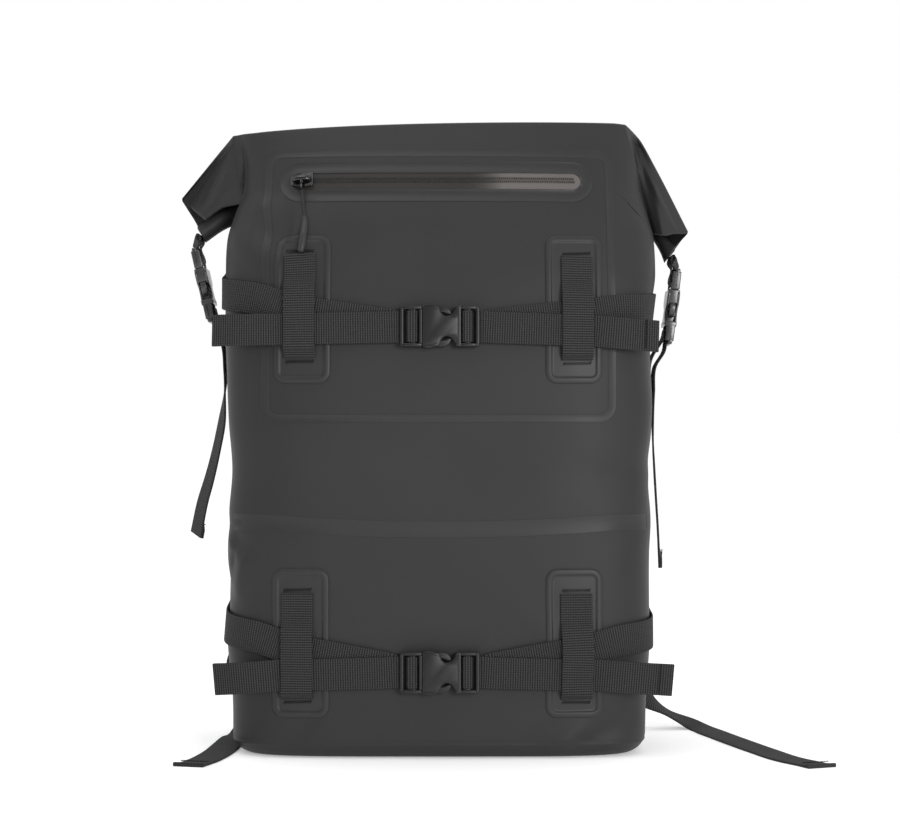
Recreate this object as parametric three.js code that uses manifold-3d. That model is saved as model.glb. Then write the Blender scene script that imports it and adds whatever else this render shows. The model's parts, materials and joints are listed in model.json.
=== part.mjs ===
// A waterproof roll-top backpack: a welded coated-fabric bag whose mouth is folded over and rolled,
// with a zip pocket, four compression straps, side buckles and padded shoulder straps.
// Millimetres. +X is to the right seen from the front, the front faces -Y, +Z is up, and the origin
// is the centre of the base on the floor.
import * as THREE from "three";
import { mergeVertices } from "three/addons/utils/BufferGeometryUtils.js";
import Module from "manifold-3d";

const wasm = await Module();
wasm.setup();

// The bag
const BAG_WIDTH = 340;
const BAG_DEPTH = 165;
const RIDGE_HEIGHT = 508;
const RIDGE_DROP = 10;
const NECK_HEIGHT = 450;
const BACK_RIM_RISE = 22;
const BASE_RADIUS = 16;
const WALL = 2;
const ROLL_RADIUS = 8.5;
const ROLL_LAYER = 2.4;
const ROLL_TURNS = 1.35;

// Welded trim on the front
const GAP = 0.3;
const TAPE_WIDTH = 6.5;
const TAPE_THICKNESS = 0.6;
const POCKET_WIDTH = 279;
const POCKET_SHIFT = -1;
const POCKET_HEIGHT = 219;
const POCKET_DROP = 26;
const POCKET_CORNER = 14;
const ZIP_LENGTH = 219;
const ZIP_OPENING = 13.5;
const ZIP_FRAME_WIDTH = 10;
const ZIP_DROP = 30.7;
const TEETH_WIDTH = 6;
const SEAM_WIDTH = 13;
const SEAM_DROP = 328.5;
const PATCH_WIDTH = 44.5;
const PATCH_HEIGHT = 116.5;
const PATCH_RIM = 5.5;
const PATCH_THICKNESS = 0.8;
const PATCH_RIM_RISE = 0.6;
const PATCH_CORNER = 9;

// Zip slider and pull
const SLIDER_LENGTH = 13;
const SLIDER_WIDTH = 9;
const SLIDER_THICKNESS = 4;
const CORD_DIAMETER = 2.2;
const GRIP_DIAMETER = 5.6;

// Webbing and buckles
const STRAP_WIDTH = 25;
const STRAP_THICKNESS = 1.6;
const HEM_LENGTH = 12;
const BUCKLE_LENGTH = 62;
const BUCKLE_WIDTH = 32;
const BUCKLE_BODY_THICKNESS = 10;
const OUTER_BAR = 3.2;
const OUTER_SLOT = 3.8;
const MIDDLE_BAR = 5.1;
const INNER_SLOT = 3.2;
const BAR_THICKNESS = 2.4;
const SLOT_LENGTH = 26.4;
const PRONG_THICKNESS = 4.6;
const SHOULDER = 2;
const STRAP_SETTLE = 10;

// Padded shoulder straps and their adjusters
const PAD_WIDTH = 62;
const PAD_THICKNESS = 11;
const LADDER_WIDTH = 32;
const LADDER_EYE = 6;
const TAB_REACH = 9;

// Places that follow the sizes above: the pocket hangs from the ridge, the zip from the pocket's top.
const POCKET_TOP = RIDGE_HEIGHT - POCKET_DROP;
const POCKET_MIDDLE = POCKET_TOP - POCKET_HEIGHT / 2;
const ZIP_LEVEL = POCKET_TOP - ZIP_DROP;
const SEAM_LEVEL = RIDGE_HEIGHT - SEAM_DROP;

const ROUND_POINTS = 36;
const CORNER_SHARE = 0.11;
const HALF_TURN = Math.PI;
const RIGHTWARDS = new THREE.Vector3(1, 0, 0);
const DEPTHWISE = new THREE.Vector3(0, 1, 0);

const FABRIC = new THREE.MeshStandardMaterial({ color: 0x46464a, roughness: 0.6, metalness: 0 });
const WELD = new THREE.MeshStandardMaterial({ color: 0x4e4e50, roughness: 0.45, metalness: 0 });
const WEBBING = new THREE.MeshStandardMaterial({ color: 0x3a3a3c, roughness: 0.85, metalness: 0 });
const PLASTIC = new THREE.MeshStandardMaterial({ color: 0x2c2c2e, roughness: 0.4, metalness: 0 });
const PADDING = new THREE.MeshStandardMaterial({ color: 0x303033, roughness: 0.9, metalness: 0 });

const bag = new THREE.Group();

// Adds a copy of a finish and a closed geometry to the bag as a named piece.
function addPiece(name, geometry, finish) {
  const mesh = new THREE.Mesh(geometry, finish.clone());
  mesh.name = name;
  bag.add(mesh);
  return mesh;
}

const along = (share) => share * BAG_WIDTH;
const deep = (share) => share * BAG_DEPTH;
const high = (share) => share * RIDGE_HEIGHT;

// Level sections of the bag. Height is a share of the ridge height, left and right are the
// half-widths as shares of the bag width, front and back the half-depths as shares of the bag
// depth, and square is the exponent of the rounded outline: 2 is an ellipse, 6 nearly a box.
const BAG_SECTIONS = [
  { height: 0.0, left: 0.489, right: 0.484, front: 0.497, back: 0.49, square: 4.6 },
  { height: 0.09, left: 0.49, right: 0.487, front: 0.503, back: 0.493, square: 4.8 },
  { height: 0.17, left: 0.501, right: 0.495, front: 0.508, back: 0.493, square: 4.8 },
  { height: 0.236, left: 0.496, right: 0.494, front: 0.51, back: 0.49, square: 4.8 },
  { height: 0.31, left: 0.501, right: 0.494, front: 0.511, back: 0.487, square: 4.8 },
  { height: 0.375, left: 0.499, right: 0.498, front: 0.509, back: 0.485, square: 4.8 },
  { height: 0.444, left: 0.491, right: 0.489, front: 0.507, back: 0.483, square: 4.8 },
  { height: 0.52, left: 0.499, right: 0.503, front: 0.505, back: 0.48, square: 4.8 },
  { height: 0.6, left: 0.504, right: 0.498, front: 0.498, back: 0.473, square: 4.7 },
  { height: 0.68, left: 0.508, right: 0.497, front: 0.482, back: 0.458, square: 4.4 },
  { height: 0.75, left: 0.509, right: 0.51, front: 0.452, back: 0.425, square: 4 },
  { height: 0.81, left: 0.506, right: 0.508, front: 0.408, back: 0.36, square: 3.5 },
  { height: 0.85, left: 0.489, right: 0.494, front: 0.363, back: 0.282, square: 3 },
  { height: 0.886, left: 0.47, right: 0.481, front: 0.31, back: 0.2, square: 2.7 },
  { height: 0.945, left: 0.47, right: 0.47, front: 0.215, back: 0.085, square: 2.6 },
  { height: 1.0, left: 0.494, right: 0.455, front: 0.115, back: 0.03, square: 2.6 },
];

// Shallow dents of the soft wall: place as shares of bag width and ridge height, spread as shares
// of the bag width across and of the ridge height upwards, depth as a share of the bag depth.
const DENTS = [
  { across: -0.47, height: 0.42, width: 0.06, tall: 0.05, depth: 0.022 },
  { across: 0.44, height: 0.53, width: 0.07, tall: 0.06, depth: 0.02 },
  { across: 0.42, height: 0.43, width: 0.08, tall: 0.03, depth: 0.016 },
  { across: 0.0, height: 0.45, width: 0.2, tall: 0.07, depth: 0.01 },
  { across: 0.36, height: 0.06, width: 0.05, tall: 0.04, depth: 0.012 },
];

// Cubic Hermite value between table rows, for one column.
function columnAt(rows, key, value, column) {
  let i = 0;
  while (i < rows.length - 2 && value > rows[i + 1][key]) i += 1;
  const before = rows[Math.max(i - 1, 0)];
  const low = rows[i];
  const top = rows[i + 1];
  const after = rows[Math.min(i + 2, rows.length - 1)];
  const span = top[key] - low[key];
  const t = THREE.MathUtils.clamp((value - low[key]) / span, 0, 1);
  const lowSlope = ((top[column] - before[column]) / (top[key] - before[key])) * span;
  const topSlope = ((after[column] - low[column]) / (after[key] - low[key])) * span;
  const t2 = t * t;
  const t3 = t2 * t;
  const rise = top[column] - low[column];
  return low[column] + lowSlope * (t3 - 2 * t2 + t) + rise * (3 * t2 - 2 * t3) + topSlope * (t3 - t2);
}

const bagColumn = (z, column) => columnAt(BAG_SECTIONS, "height", z / RIDGE_HEIGHT, column);

// Distance that the outline steps in at height z, where the wall turns into the base.
function baseInset(z, inset) {
  const radius = BASE_RADIUS - inset;
  const rise = THREE.MathUtils.clamp(z - inset, 0, radius);
  return inset + radius - Math.sqrt(radius * radius - (radius - rise) ** 2);
}

// Depth of the dents where the wall is at x and z.
function dentAt(x, z) {
  return DENTS.reduce((sum, dent) => {
    const u = (x - along(dent.across)) / along(dent.width);
    const v = (z - high(dent.height)) / high(dent.tall);
    return sum + deep(dent.depth) * Math.exp(-u * u - v * v);
  }, 0);
}

// Point of the bag's wall at a turn round the bag and a height: turn 0 is the middle of the front,
// a quarter turn is the right side and minus a quarter turn the left side.
function wallPoint(turn, z, inset = 0) {
  const s = Math.sin(turn);
  const c = Math.cos(turn);
  const power = bagColumn(z, "square");
  const stretch = (Math.abs(s) ** power + Math.abs(c) ** power) ** (-1 / power);
  const step = baseInset(z, inset);
  const halfWidth = along(bagColumn(z, s < 0 ? "left" : "right")) - step;
  const halfDepth = deep(bagColumn(z, c < 0 ? "back" : "front")) - step;
  const x = halfWidth * s * stretch;
  const y = -halfDepth * c * stretch;
  const dent = c > 0 ? dentAt(x, z) : 0;
  return new THREE.Vector3(x, y + dent * c * stretch, z);
}

// Turn round the front at which the wall has the given x.
function turnAt(x, z) {
  const power = bagColumn(z, "square");
  const u = Math.min(Math.abs(x) / along(bagColumn(z, x < 0 ? "left" : "right")), 0.999);
  return Math.sign(x) * Math.atan2(u, (1 - u ** power) ** (1 / power));
}

// Outward direction of the wall, from small steps along and up it.
function wallNormal(turn, z) {
  const step = 0.01;
  const sideways = wallPoint(turn + step, z).sub(wallPoint(turn - step, z));
  const upwards = wallPoint(turn, z + 1).sub(wallPoint(turn, z - 1));
  return sideways.cross(upwards).normalize();
}

// Point that stands off the wall, on any side or on the front at x.
function offWall(turn, z, stand) {
  return wallPoint(turn, z).addScaledVector(wallNormal(turn, z), stand);
}
const offFront = (x, z, stand) => offWall(turnAt(x, z), z, stand);
const backTurn = (x, z) => (x < 0 ? -HALF_TURN : HALF_TURN) - turnAt(x, z);

// Directions along the wall at a place on it: up it, and level round it.
const upWall = (turn, z) => wallPoint(turn, z + 1).sub(wallPoint(turn, z - 1)).normalize();
const roundWall = (turn, z) => upWall(turn, z).cross(wallNormal(turn, z)).normalize();

// Steps of a strap that follows the wall, level or upright.
const levelStep = (turn, z, stand) => ({ middle: offWall(turn, z, stand), across: upWall(turn, z) });
const uprightStep = (turn, z, stand) => ({ middle: offWall(turn, z, stand), across: roundWall(turn, z) });

// Closed geometry from a grid of rings: rings[i] are loops of equal length. The first and last are
// capped, unless the rings close on themselves.
function skinRings(rings, closed, capEnds = closed ? null : capAcross) {
  const count = rings[0].length;
  const positions = rings.flat().flatMap((p) => [p.x, p.y, p.z]);
  const triangles = [];
  const bands = closed ? rings.length : rings.length - 1;
  for (let i = 0; i < bands; i += 1) {
    const low = i * count;
    const top = ((i + 1) % rings.length) * count;
    for (let j = 0; j < count; j += 1) {
      const next = (j + 1) % count;
      triangles.push([low + j, low + next, top + next], [low + j, top + next, top + j]);
    }
  }
  if (capEnds) {
    triangles.push(...capEnds(count, 0).map((t) => t.reverse()));
    triangles.push(...capEnds(count, (rings.length - 1) * count));
  }
  return closedGeometry(positions, triangles);
}

// Cap of a ring whose points pair up across it: point i faces point count - 1 - i.
function capAcross(count, start) {
  const made = [];
  for (let i = 0; i < count / 2 - 1; i += 1) {
    const far = count - 1 - i;
    made.push([start + i, start + i + 1, start + far - 1], [start + i, start + far - 1, start + far]);
  }
  return made;
}

// Merges equal corners, drops faces that have shrunk to a line and turns the faces outwards.
function closedGeometry(positions, triangles) {
  const loose = new THREE.BufferGeometry();
  loose.setAttribute("position", new THREE.Float32BufferAttribute(positions, 3));
  loose.setIndex(triangles.flat());
  const merged = mergeVertices(loose, 1e-3);
  const index = Array.from(merged.index.array);
  const at = merged.attributes.position;
  const corner = (i) => new THREE.Vector3().fromBufferAttribute(at, i);
  const kept = [];
  let volume = 0;
  for (let i = 0; i < index.length; i += 3) {
    const [a, b, c] = index.slice(i, i + 3);
    if (a === b || b === c || a === c) continue;
    kept.push([a, b, c]);
    volume += corner(a).dot(corner(b).cross(corner(c)));
  }
  merged.setIndex((volume < 0 ? kept.map((t) => t.reverse()) : kept).flat());
  return merged;
}

// A band swept along stations. Each station has its middle, the direction across the band, the
// direction out of its face, a width and a thickness.
function band(stations) {
  const rings = stations.map(({ middle, across, out, width, thickness }) => {
    const side = across.clone().multiplyScalar(width / 2);
    const face = out.clone().multiplyScalar(thickness / 2);
    return [
      middle.clone().sub(side).sub(face),
      middle.clone().add(side).sub(face),
      middle.clone().add(side).add(face),
      middle.clone().sub(side).add(face),
    ];
  });
  return skinRings(rings, false);
}

// Stations of a strap along a route, whose steps are points with the direction across the strap.
// The face is square to the route and to the width, and the last stretch is hemmed to twice the
// thickness if asked.
function strapStations(steps, width, thickness, hemmed = false) {
  const stations = steps.map(({ middle, across: sideways }, i) => {
    const ahead = steps[Math.min(i + 1, steps.length - 1)].middle;
    const behind = steps[Math.max(i - 1, 0)].middle;
    const route = ahead.clone().sub(behind).normalize();
    const wanted = sideways.clone();
    const across = wanted.addScaledVector(route, -wanted.dot(route)).normalize();
    const out = route.clone().cross(across).normalize();
    return { middle, across, out, width, thickness };
  });
  return hemmed ? withHem(stations) : stations;
}

// Doubles the thickness of the last stretch, as far as the hem reaches.
function withHem(stations) {
  const last = stations[stations.length - 1];
  const before = stations[stations.length - 2];
  const back = before.middle.clone().sub(last.middle).normalize();
  const start = last.middle.clone().addScaledVector(back, HEM_LENGTH);
  const step = last.middle.clone().addScaledVector(back, HEM_LENGTH - 1);
  const lift = (station, middle) => ({
    ...station,
    middle: middle.clone().addScaledVector(station.out, station.thickness / 2),
    thickness: 2 * station.thickness,
  });
  return [
    ...stations.slice(0, -1),
    { ...last, middle: start },
    lift(last, step),
    lift(last, last.middle),
  ];
}

// The bag: an outer and an inner wall, open at the neck, with a rounded base.
function bagBody() {
  const turns = Array.from({ length: ROUND_POINTS }, (_, i) => {
    const even = (2 * HALF_TURN * i) / ROUND_POINTS;
    return even + CORNER_SHARE * Math.sin(4 * even);
  });
  const rim = (turn) => NECK_HEIGHT + BACK_RIM_RISE * Math.max(0, -Math.cos(turn)) ** 2;
  const settle = high(0.6);
  const ringAt = (z, inset) =>
    turns.map((turn) => {
      const rise = z > settle ? (z - settle) / (NECK_HEIGHT - settle) : 0;
      const height = z + rise * (rim(turn) - NECK_HEIGHT);
      return wallPoint(turn, height, inset);
    });
  const roundRows = (inset) =>
    [0, 1, 2, 3].map((i) => inset + (BASE_RADIUS - inset) * (1 - Math.cos((i * HALF_TURN) / 8)));
  const shares = [0.09, 0.17, 0.24, 0.31, 0.375, 0.444, 0.52, 0.6, 0.68, 0.75, 0.81, 0.85];
  const wallRows = [...shares.map(high).filter((z) => z < NECK_HEIGHT), NECK_HEIGHT];
  const innerRows = wallRows.filter((_, i) => i % 2 === 0 || wallRows[i] > high(0.7));
  const outer = [...roundRows(0), ...wallRows].map((z) => ringAt(z, 0));
  const inner = [...roundRows(WALL), ...innerRows].map((z) => ringAt(z, WALL));
  return skinRings([...outer, ...inner.reverse()], false, capFan);
}

// Cap of a nearly flat ring, as a fan from its first point.
function capFan(count, start) {
  return Array.from({ length: count - 2 }, (_, i) => [start, start + i + 1, start + i + 2]);
}

// Ends of the rolled top beyond the bag, in shares of bag width, ridge height and bag depth: the
// fold that carries on the ridge, the hem of the front layer, and the middle of the roll.
const LEFT_EAR = [
  { foldX: -0.497, foldZ: 0.98, hemX: -0.487, hemZ: 0.8885, hemY: -0.1, rollX: -0.488, rollZ: 0.858, rollY: 0.135 },
  { foldX: -0.553, foldZ: 0.932, hemX: -0.512, hemZ: 0.876, hemY: -0.1, rollX: -0.528, rollZ: 0.845, rollY: 0.09 },
  { foldX: -0.62, foldZ: 0.876, hemX: -0.559, hemZ: 0.85, hemY: -0.08, rollX: -0.576, rollZ: 0.823, rollY: 0.06 },
];
const RIGHT_EAR = [
  { foldX: 0.474, foldZ: 0.988, hemX: 0.494, hemZ: 0.8885, hemY: -0.1, rollX: 0.474, rollZ: 0.862, rollY: 0.21 },
  { foldX: 0.515, foldZ: 0.93, hemX: 0.522, hemZ: 0.84, hemY: -0.11, rollX: 0.514, rollZ: 0.832, rollY: 0.14 },
  { foldX: 0.594, foldZ: 0.822, hemX: 0.552, hemZ: 0.82, hemY: -0.09, rollX: 0.554, rollZ: 0.789, rollY: 0.06 },
];

// The rolled top: from the neck up the front to the ridge, over it, down behind the bag and round
// into the roll, one strip of doubled fabric carried from the left ear to the right ear.
function rolledTop() {
  const frontSteps = 6;
  const flapSteps = 4;
  const rollSteps = 13;
  const ridgeAt = (x) => RIDGE_HEIGHT - RIDGE_DROP * (0.5 - x / BAG_WIDTH) ** 3;
  const straight = [-0.45, -0.36, -0.24, -0.12, 0, 0.12, 0.24, 0.36, 0.435].map((share) => {
    const x = along(share);
    const rollZ = high(0.89 - 0.125 * share * share);
    const behind = wallPoint(HALF_TURN - turnAt(x, rollZ), rollZ - ROLL_RADIUS).y;
    const rollY = behind + ROLL_RADIUS + ROLL_LAYER;
    const hem = offFront(x, NECK_HEIGHT + 2 * GAP, -ROLL_LAYER / 2);
    hem.set(x, hem.y, NECK_HEIGHT + 2 * GAP);
    return {
      fold: new THREE.Vector3(x, offFront(x, ridgeAt(x), 0).y + ROLL_LAYER, ridgeAt(x) - ROLL_LAYER / 2),
      hem,
      roll: new THREE.Vector3(x, rollY, rollZ),
      onBag: true,
    };
  });
  const earStation = (row) => ({
    fold: new THREE.Vector3(along(row.foldX), deep(row.hemY + row.rollY) / 2, high(row.foldZ)),
    hem: new THREE.Vector3(along(row.hemX), deep(row.hemY), high(row.hemZ)),
    roll: new THREE.Vector3(along(row.rollX), deep(row.rollY), high(row.rollZ)),
    onBag: false,
  });
  const stations = [...[...LEFT_EAR].reverse().map(earStation), ...straight, ...RIGHT_EAR.map(earStation)];
  const route = stations.map(({ fold, hem, roll, onBag }) => {
    const points = [];
    for (let i = 0; i < frontSteps; i += 1) {
      const p = hem.clone().lerp(fold, i / frontSteps);
      if (onBag) p.y = wallPoint(turnAt(p.x, p.z), p.z).y + ROLL_LAYER / 2;
      points.push(p);
    }
    points.push(fold);
    const up = fold.clone().sub(roll).setY(0).normalize();
    const flapEnd = roll.clone().add(new THREE.Vector3(0, ROLL_RADIUS, 0));
    for (let i = 1; i < flapSteps; i += 1) {
      const p = fold.clone().lerp(flapEnd, i / flapSteps);
      const bulge = ROLL_RADIUS * 0.7 * Math.sin((HALF_TURN * i) / flapSteps);
      points.push(p.add(new THREE.Vector3(0, bulge, 0)));
    }
    for (let i = 0; i <= rollSteps; i += 1) {
      const turned = (2 * HALF_TURN * ROLL_TURNS * i) / rollSteps;
      const pitch = 1.45 * ROLL_LAYER;
      const radius = ROLL_RADIUS - (pitch * turned) / (2 * HALF_TURN);
      const p = roll.clone().addScaledVector(up, -radius * Math.sin(turned));
      points.push(p.add(new THREE.Vector3(0, radius * Math.cos(turned), 0)));
    }
    return points;
  });
  const rings = route.map((points, i) => {
    const ahead = stations[Math.min(i + 1, stations.length - 1)];
    const behind = stations[Math.max(i - 1, 0)];
    const sweep = ahead.roll.clone().sub(behind.roll).setZ(0).normalize();
    const faces = points.map((p, j) => {
      const next = points[Math.min(j + 1, points.length - 1)];
      const last = points[Math.max(j - 1, 0)];
      return next.clone().sub(last).normalize().cross(sweep).normalize().multiplyScalar(ROLL_LAYER / 2);
    });
    const one = points.map((p, j) => p.clone().add(faces[j]));
    const other = points.map((p, j) => p.clone().sub(faces[j]));
    return [...one, ...other.reverse()];
  });
  return skinRings(rings, false);
}

// Rounded rectangle on the front wall, as a loop of points that stand off it. Its points pair up
// across the upright middle line.
function frontLoop(x, z, width, height, corner, stand, steps = 3, sides = 4) {
  const quarter = [];
  const w = width / 2;
  const h = height / 2;
  const r = Math.min(corner, w, h);
  for (let i = 0; i < sides; i += 1) quarter.push([((w - r) * i) / sides, h]);
  for (let i = 0; i < steps; i += 1) {
    const angle = (HALF_TURN * i) / (2 * steps);
    quarter.push([w - r + r * Math.sin(angle), h - r + r * Math.cos(angle)]);
  }
  for (let i = 0; i < sides; i += 1) quarter.push([w, ((h - r) * (sides - i)) / sides]);
  const right = [...quarter, [w, 0], ...[...quarter].reverse().map(([a, b]) => [a, -b])];
  const left = right.slice(1, -1).reverse().map(([a, b]) => [-a, b]);
  const loop = [...right, ...left];
  return loop.map(([a, b]) => offFront(x + a, z + b, stand));
}

// A welded frame on the front: a flat ring with its inner and outer outline.
function frontFrame(x, z, outer, inner, sides) {
  const top = GAP + TAPE_THICKNESS;
  const ringAt = (size, stand) => frontLoop(x, z, size.width, size.height, size.corner, stand, 3, sides);
  return skinRings([ringAt(outer, GAP), ringAt(outer, top), ringAt(inner, top), ringAt(inner, GAP)], true);
}

// A flat patch on the front from a grid of stand-offs: rises[i][j] at the lines xs[i] and zs[j].
function frontPatch(xs, zs, riseAt, base) {
  const rings = [];
  xs.forEach((x, i) => {
    const under = zs.map((z) => offFront(x, z, base));
    const over = zs.map((z, j) => offFront(x, z, base + riseAt(i, j)));
    rings.push([...under, ...over.reverse()]);
  });
  return skinRings(rings, false);
}

const spread = (from, to, steps) => Array.from({ length: steps + 1 }, (_, i) => from + ((to - from) * i) / steps);

// The pocket's welded tape, the zip and its pull.
const pocketSize = (inset) => ({
  width: POCKET_WIDTH - 2 * inset,
  height: POCKET_HEIGHT - 2 * inset,
  corner: POCKET_CORNER - inset / 2,
});
const pocketFrame = frontFrame(POCKET_SHIFT, POCKET_MIDDLE, pocketSize(0), pocketSize(TAPE_WIDTH), 7);
addPiece("pocket_tape", pocketFrame, WELD);

const ZIP_MIDDLE = along(-0.005);
const zipSize = (extra) => ({
  width: ZIP_LENGTH + 2 * extra,
  height: ZIP_OPENING + 2 * extra,
  corner: ZIP_OPENING / 2 + extra,
});
const zipFrame = frontFrame(ZIP_MIDDLE, ZIP_LEVEL, zipSize(ZIP_FRAME_WIDTH), zipSize(0), 5);
addPiece("zip_frame", zipFrame, WELD);

const zipEnds = [ZIP_MIDDLE - ZIP_LENGTH / 2 + 3, ZIP_MIDDLE + ZIP_LENGTH / 2 - 3];
const zipLines = spread(zipEnds[0], zipEnds[1], 10);
const tapeHalf = ZIP_OPENING / 2 - GAP - 1;
const zipTapeLines = spread(ZIP_LEVEL - tapeHalf, ZIP_LEVEL + tapeHalf, 2);
addPiece("zip_tape", frontPatch(zipLines, zipTapeLines, () => TAPE_THICKNESS / 2, GAP), WEBBING);
const teethLines = spread(ZIP_LEVEL - TEETH_WIDTH / 2, ZIP_LEVEL + TEETH_WIDTH / 2, 1);
const teethBase = 2 * GAP + TAPE_THICKNESS / 2;
addPiece("zip_teeth", frontPatch(zipLines, teethLines, () => TAPE_THICKNESS, teethBase), PLASTIC);

// Solid plate over an outline of points in pairs, from one height up to another.
function plate(outline, low, top) {
  const shape = new THREE.Shape(outline.map(([a, b]) => new THREE.Vector2(a, b)));
  const geometry = new THREE.ExtrudeGeometry(shape, { depth: top - low, bevelEnabled: false });
  return solidOf(geometry.translate(0, 0, low));
}

// Rectangle from one corner to the other, with its corners cut by the given length.
function cutBox(x0, y0, x1, y1, cut) {
  return [
    [x0 + cut, y0], [x1 - cut, y0], [x1, y0 + cut], [x1, y1 - cut],
    [x1 - cut, y1], [x0 + cut, y1], [x0, y1 - cut], [x0, y0 + cut],
  ];
}
const plainBox = (x0, y0, x1, y1) => [[x0, y0], [x1, y0], [x1, y1], [x0, y1]];

// A closed geometry as a solid that can be joined and cut, and back.
function solidOf(geometry) {
  const bare = geometry.clone();
  bare.deleteAttribute("normal");
  bare.deleteAttribute("uv");
  const merged = mergeVertices(bare, 1e-4);
  const vertProperties = merged.attributes.position.array;
  return new wasm.Manifold(new wasm.Mesh({ numProp: 3, vertProperties, triVerts: new Uint32Array(merged.index.array) }));
}
function geometryOf(solid) {
  const mesh = solid.getMesh();
  const geometry = new THREE.BufferGeometry();
  geometry.setAttribute("position", new THREE.Float32BufferAttribute(Array.from(mesh.vertProperties), 3));
  geometry.setIndex(Array.from(mesh.triVerts));
  return geometry;
}
const joined = (solids) => solids.reduce((all, solid) => all.add(solid));
const cutFrom = (solid, cuts) => cuts.reduce((all, cut) => all.subtract(cut), solid);

// Slider with the bridge that the cord passes through.
function zipSlider() {
  const l = SLIDER_LENGTH / 2;
  const w = SLIDER_WIDTH / 2;
  const half = SLIDER_THICKNESS / 2;
  const wedge = [[-l, -w * 0.6], [0, -w], [l, -w], [l, w], [0, w], [-l, w * 0.6]];
  const bridge = plate(plainBox(-l * 0.6, -w * 0.35, l * 0.6, w * 0.35), half / 2, SLIDER_THICKNESS);
  return geometryOf(joined([plate(wedge, 0, half), bridge]));
}
const sliderX = ZIP_MIDDLE - ZIP_LENGTH / 2 + 2;
const sliderSeat = offFront(sliderX, ZIP_LEVEL, teethBase + TAPE_THICKNESS + GAP);
const slider = addPiece("zip_slider", zipSlider(), PLASTIC);
faceOut(slider, sliderSeat, new THREE.Vector3(1, 0, 0), wallNormal(turnAt(sliderX, ZIP_LEVEL), ZIP_LEVEL));

// Places a piece drawn flat: its first axis runs one way and its third axis points out.
function faceOut(mesh, seat, first, out) {
  const third = out.clone().normalize();
  const run = first.clone().addScaledVector(third, -first.dot(third)).normalize();
  const second = third.clone().cross(run);
  mesh.quaternion.setFromRotationMatrix(new THREE.Matrix4().makeBasis(run, second, third));
  mesh.position.copy(seat);
  return mesh;
}

// Route of the pull cord, from under the slider down into the grip.
const CORD_ROUTE = [
  [-109.8, -47.6, 448.3],
  [-109.6, -49.2, 445.0],
  [-109.0, -51.6, 440.4],
  [-108.2, -54.1, 435.6],
  [-107.4, -57.2, 430.2],
  [-106.7, -60.7, 424.6],
  [-106.5, -63.1, 419.8],
  [-106.7, -66.1, 415.0],
  [-107.1, -69.0, 410.8],
  [-107.7, -70.6, 406.4],
  [-108.3, -71.7, 402.2],
  [-109.0, -72.7, 398.2],
].map(([x, y, z]) => new THREE.Vector3(x, y, z));
const GRIP_FROM = 5;
const circle = (radius, sides) => {
  const points = Array.from({ length: sides }, (_, i) => {
    const angle = (2 * HALF_TURN * i) / sides;
    return new THREE.Vector2(radius * Math.cos(angle), radius * Math.sin(angle));
  });
  return new THREE.Shape(points);
};
function tube(points, radius, sides, steps) {
  const path = new THREE.CatmullRomCurve3(points);
  return new THREE.ExtrudeGeometry(circle(radius, sides), { steps, extrudePath: path, bevelEnabled: false });
}
addPiece("zip_pull_cord", tube(CORD_ROUTE, CORD_DIAMETER / 2, 8, 10), WEBBING);

// The grip is a sleeve round the last stretch of the cord.
const gripRoute = CORD_ROUTE.slice(GRIP_FROM);
const grip = solidOf(tube(gripRoute, GRIP_DIAMETER / 2, 10, 5));
const reach = (a, b, length) => b.clone().add(b.clone().sub(a).setLength(length));
const boreRoute = [
  reach(gripRoute[1], gripRoute[0], 2),
  ...gripRoute,
  reach(gripRoute[gripRoute.length - 2], gripRoute[gripRoute.length - 1], 2),
];
const bore = solidOf(tube(boreRoute, CORD_DIAMETER / 2 + 2 * GAP, 8, 7));
addPiece("zip_pull_grip", geometryOf(grip.subtract(bore)), PLASTIC);

// Seam tape across the middle of the front, a little higher at its ends.
function seamTape() {
  const points = spread(-0.4, 0.4, 16).map((share) => {
    const x = along(share);
    const z = SEAM_LEVEL + SEAM_WIDTH * 2.5 * share * share;
    return levelStep(turnAt(x, z), z, GAP + TAPE_THICKNESS / 2);
  });
  return band(strapStations(points, SEAM_WIDTH, TAPE_THICKNESS));
}
addPiece("middle_seam_tape", seamTape(), WELD);

// Where the upright loops stand, as shares of bag width and ridge height. Foot and top are the
// ends of the webbing, and from and to the stretch that is raised over the compression straps.
// The welded patch has its own middle.
const LOOPS = {
  upper_left: { across: -0.322, foot: 0.6165, top: 0.778, from: 0.629, to: 0.722, patchX: -0.317, patch: 0.693 },
  upper_right: { across: 0.316, foot: 0.6135, top: 0.7735, from: 0.62, to: 0.713, patchX: 0.309, patch: 0.6925 },
  lower_left: { across: -0.3265, foot: 0.093, top: 0.2555, from: 0.098, to: 0.195, patchX: -0.32, patch: 0.178 },
  lower_right: { across: 0.3135, foot: 0.0925, top: 0.2545, from: 0.098, to: 0.194, patchX: 0.309, patch: 0.178 },
};
const PATCH_TOP = GAP + PATCH_THICKNESS;
const SEWN_STAND = PATCH_TOP + PATCH_RIM_RISE + GAP + STRAP_THICKNESS / 2;
const TAIL_STAND = SEWN_STAND + STRAP_THICKNESS + GAP;
const LOOP_STAND = TAIL_STAND + STRAP_THICKNESS + GAP;

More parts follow.
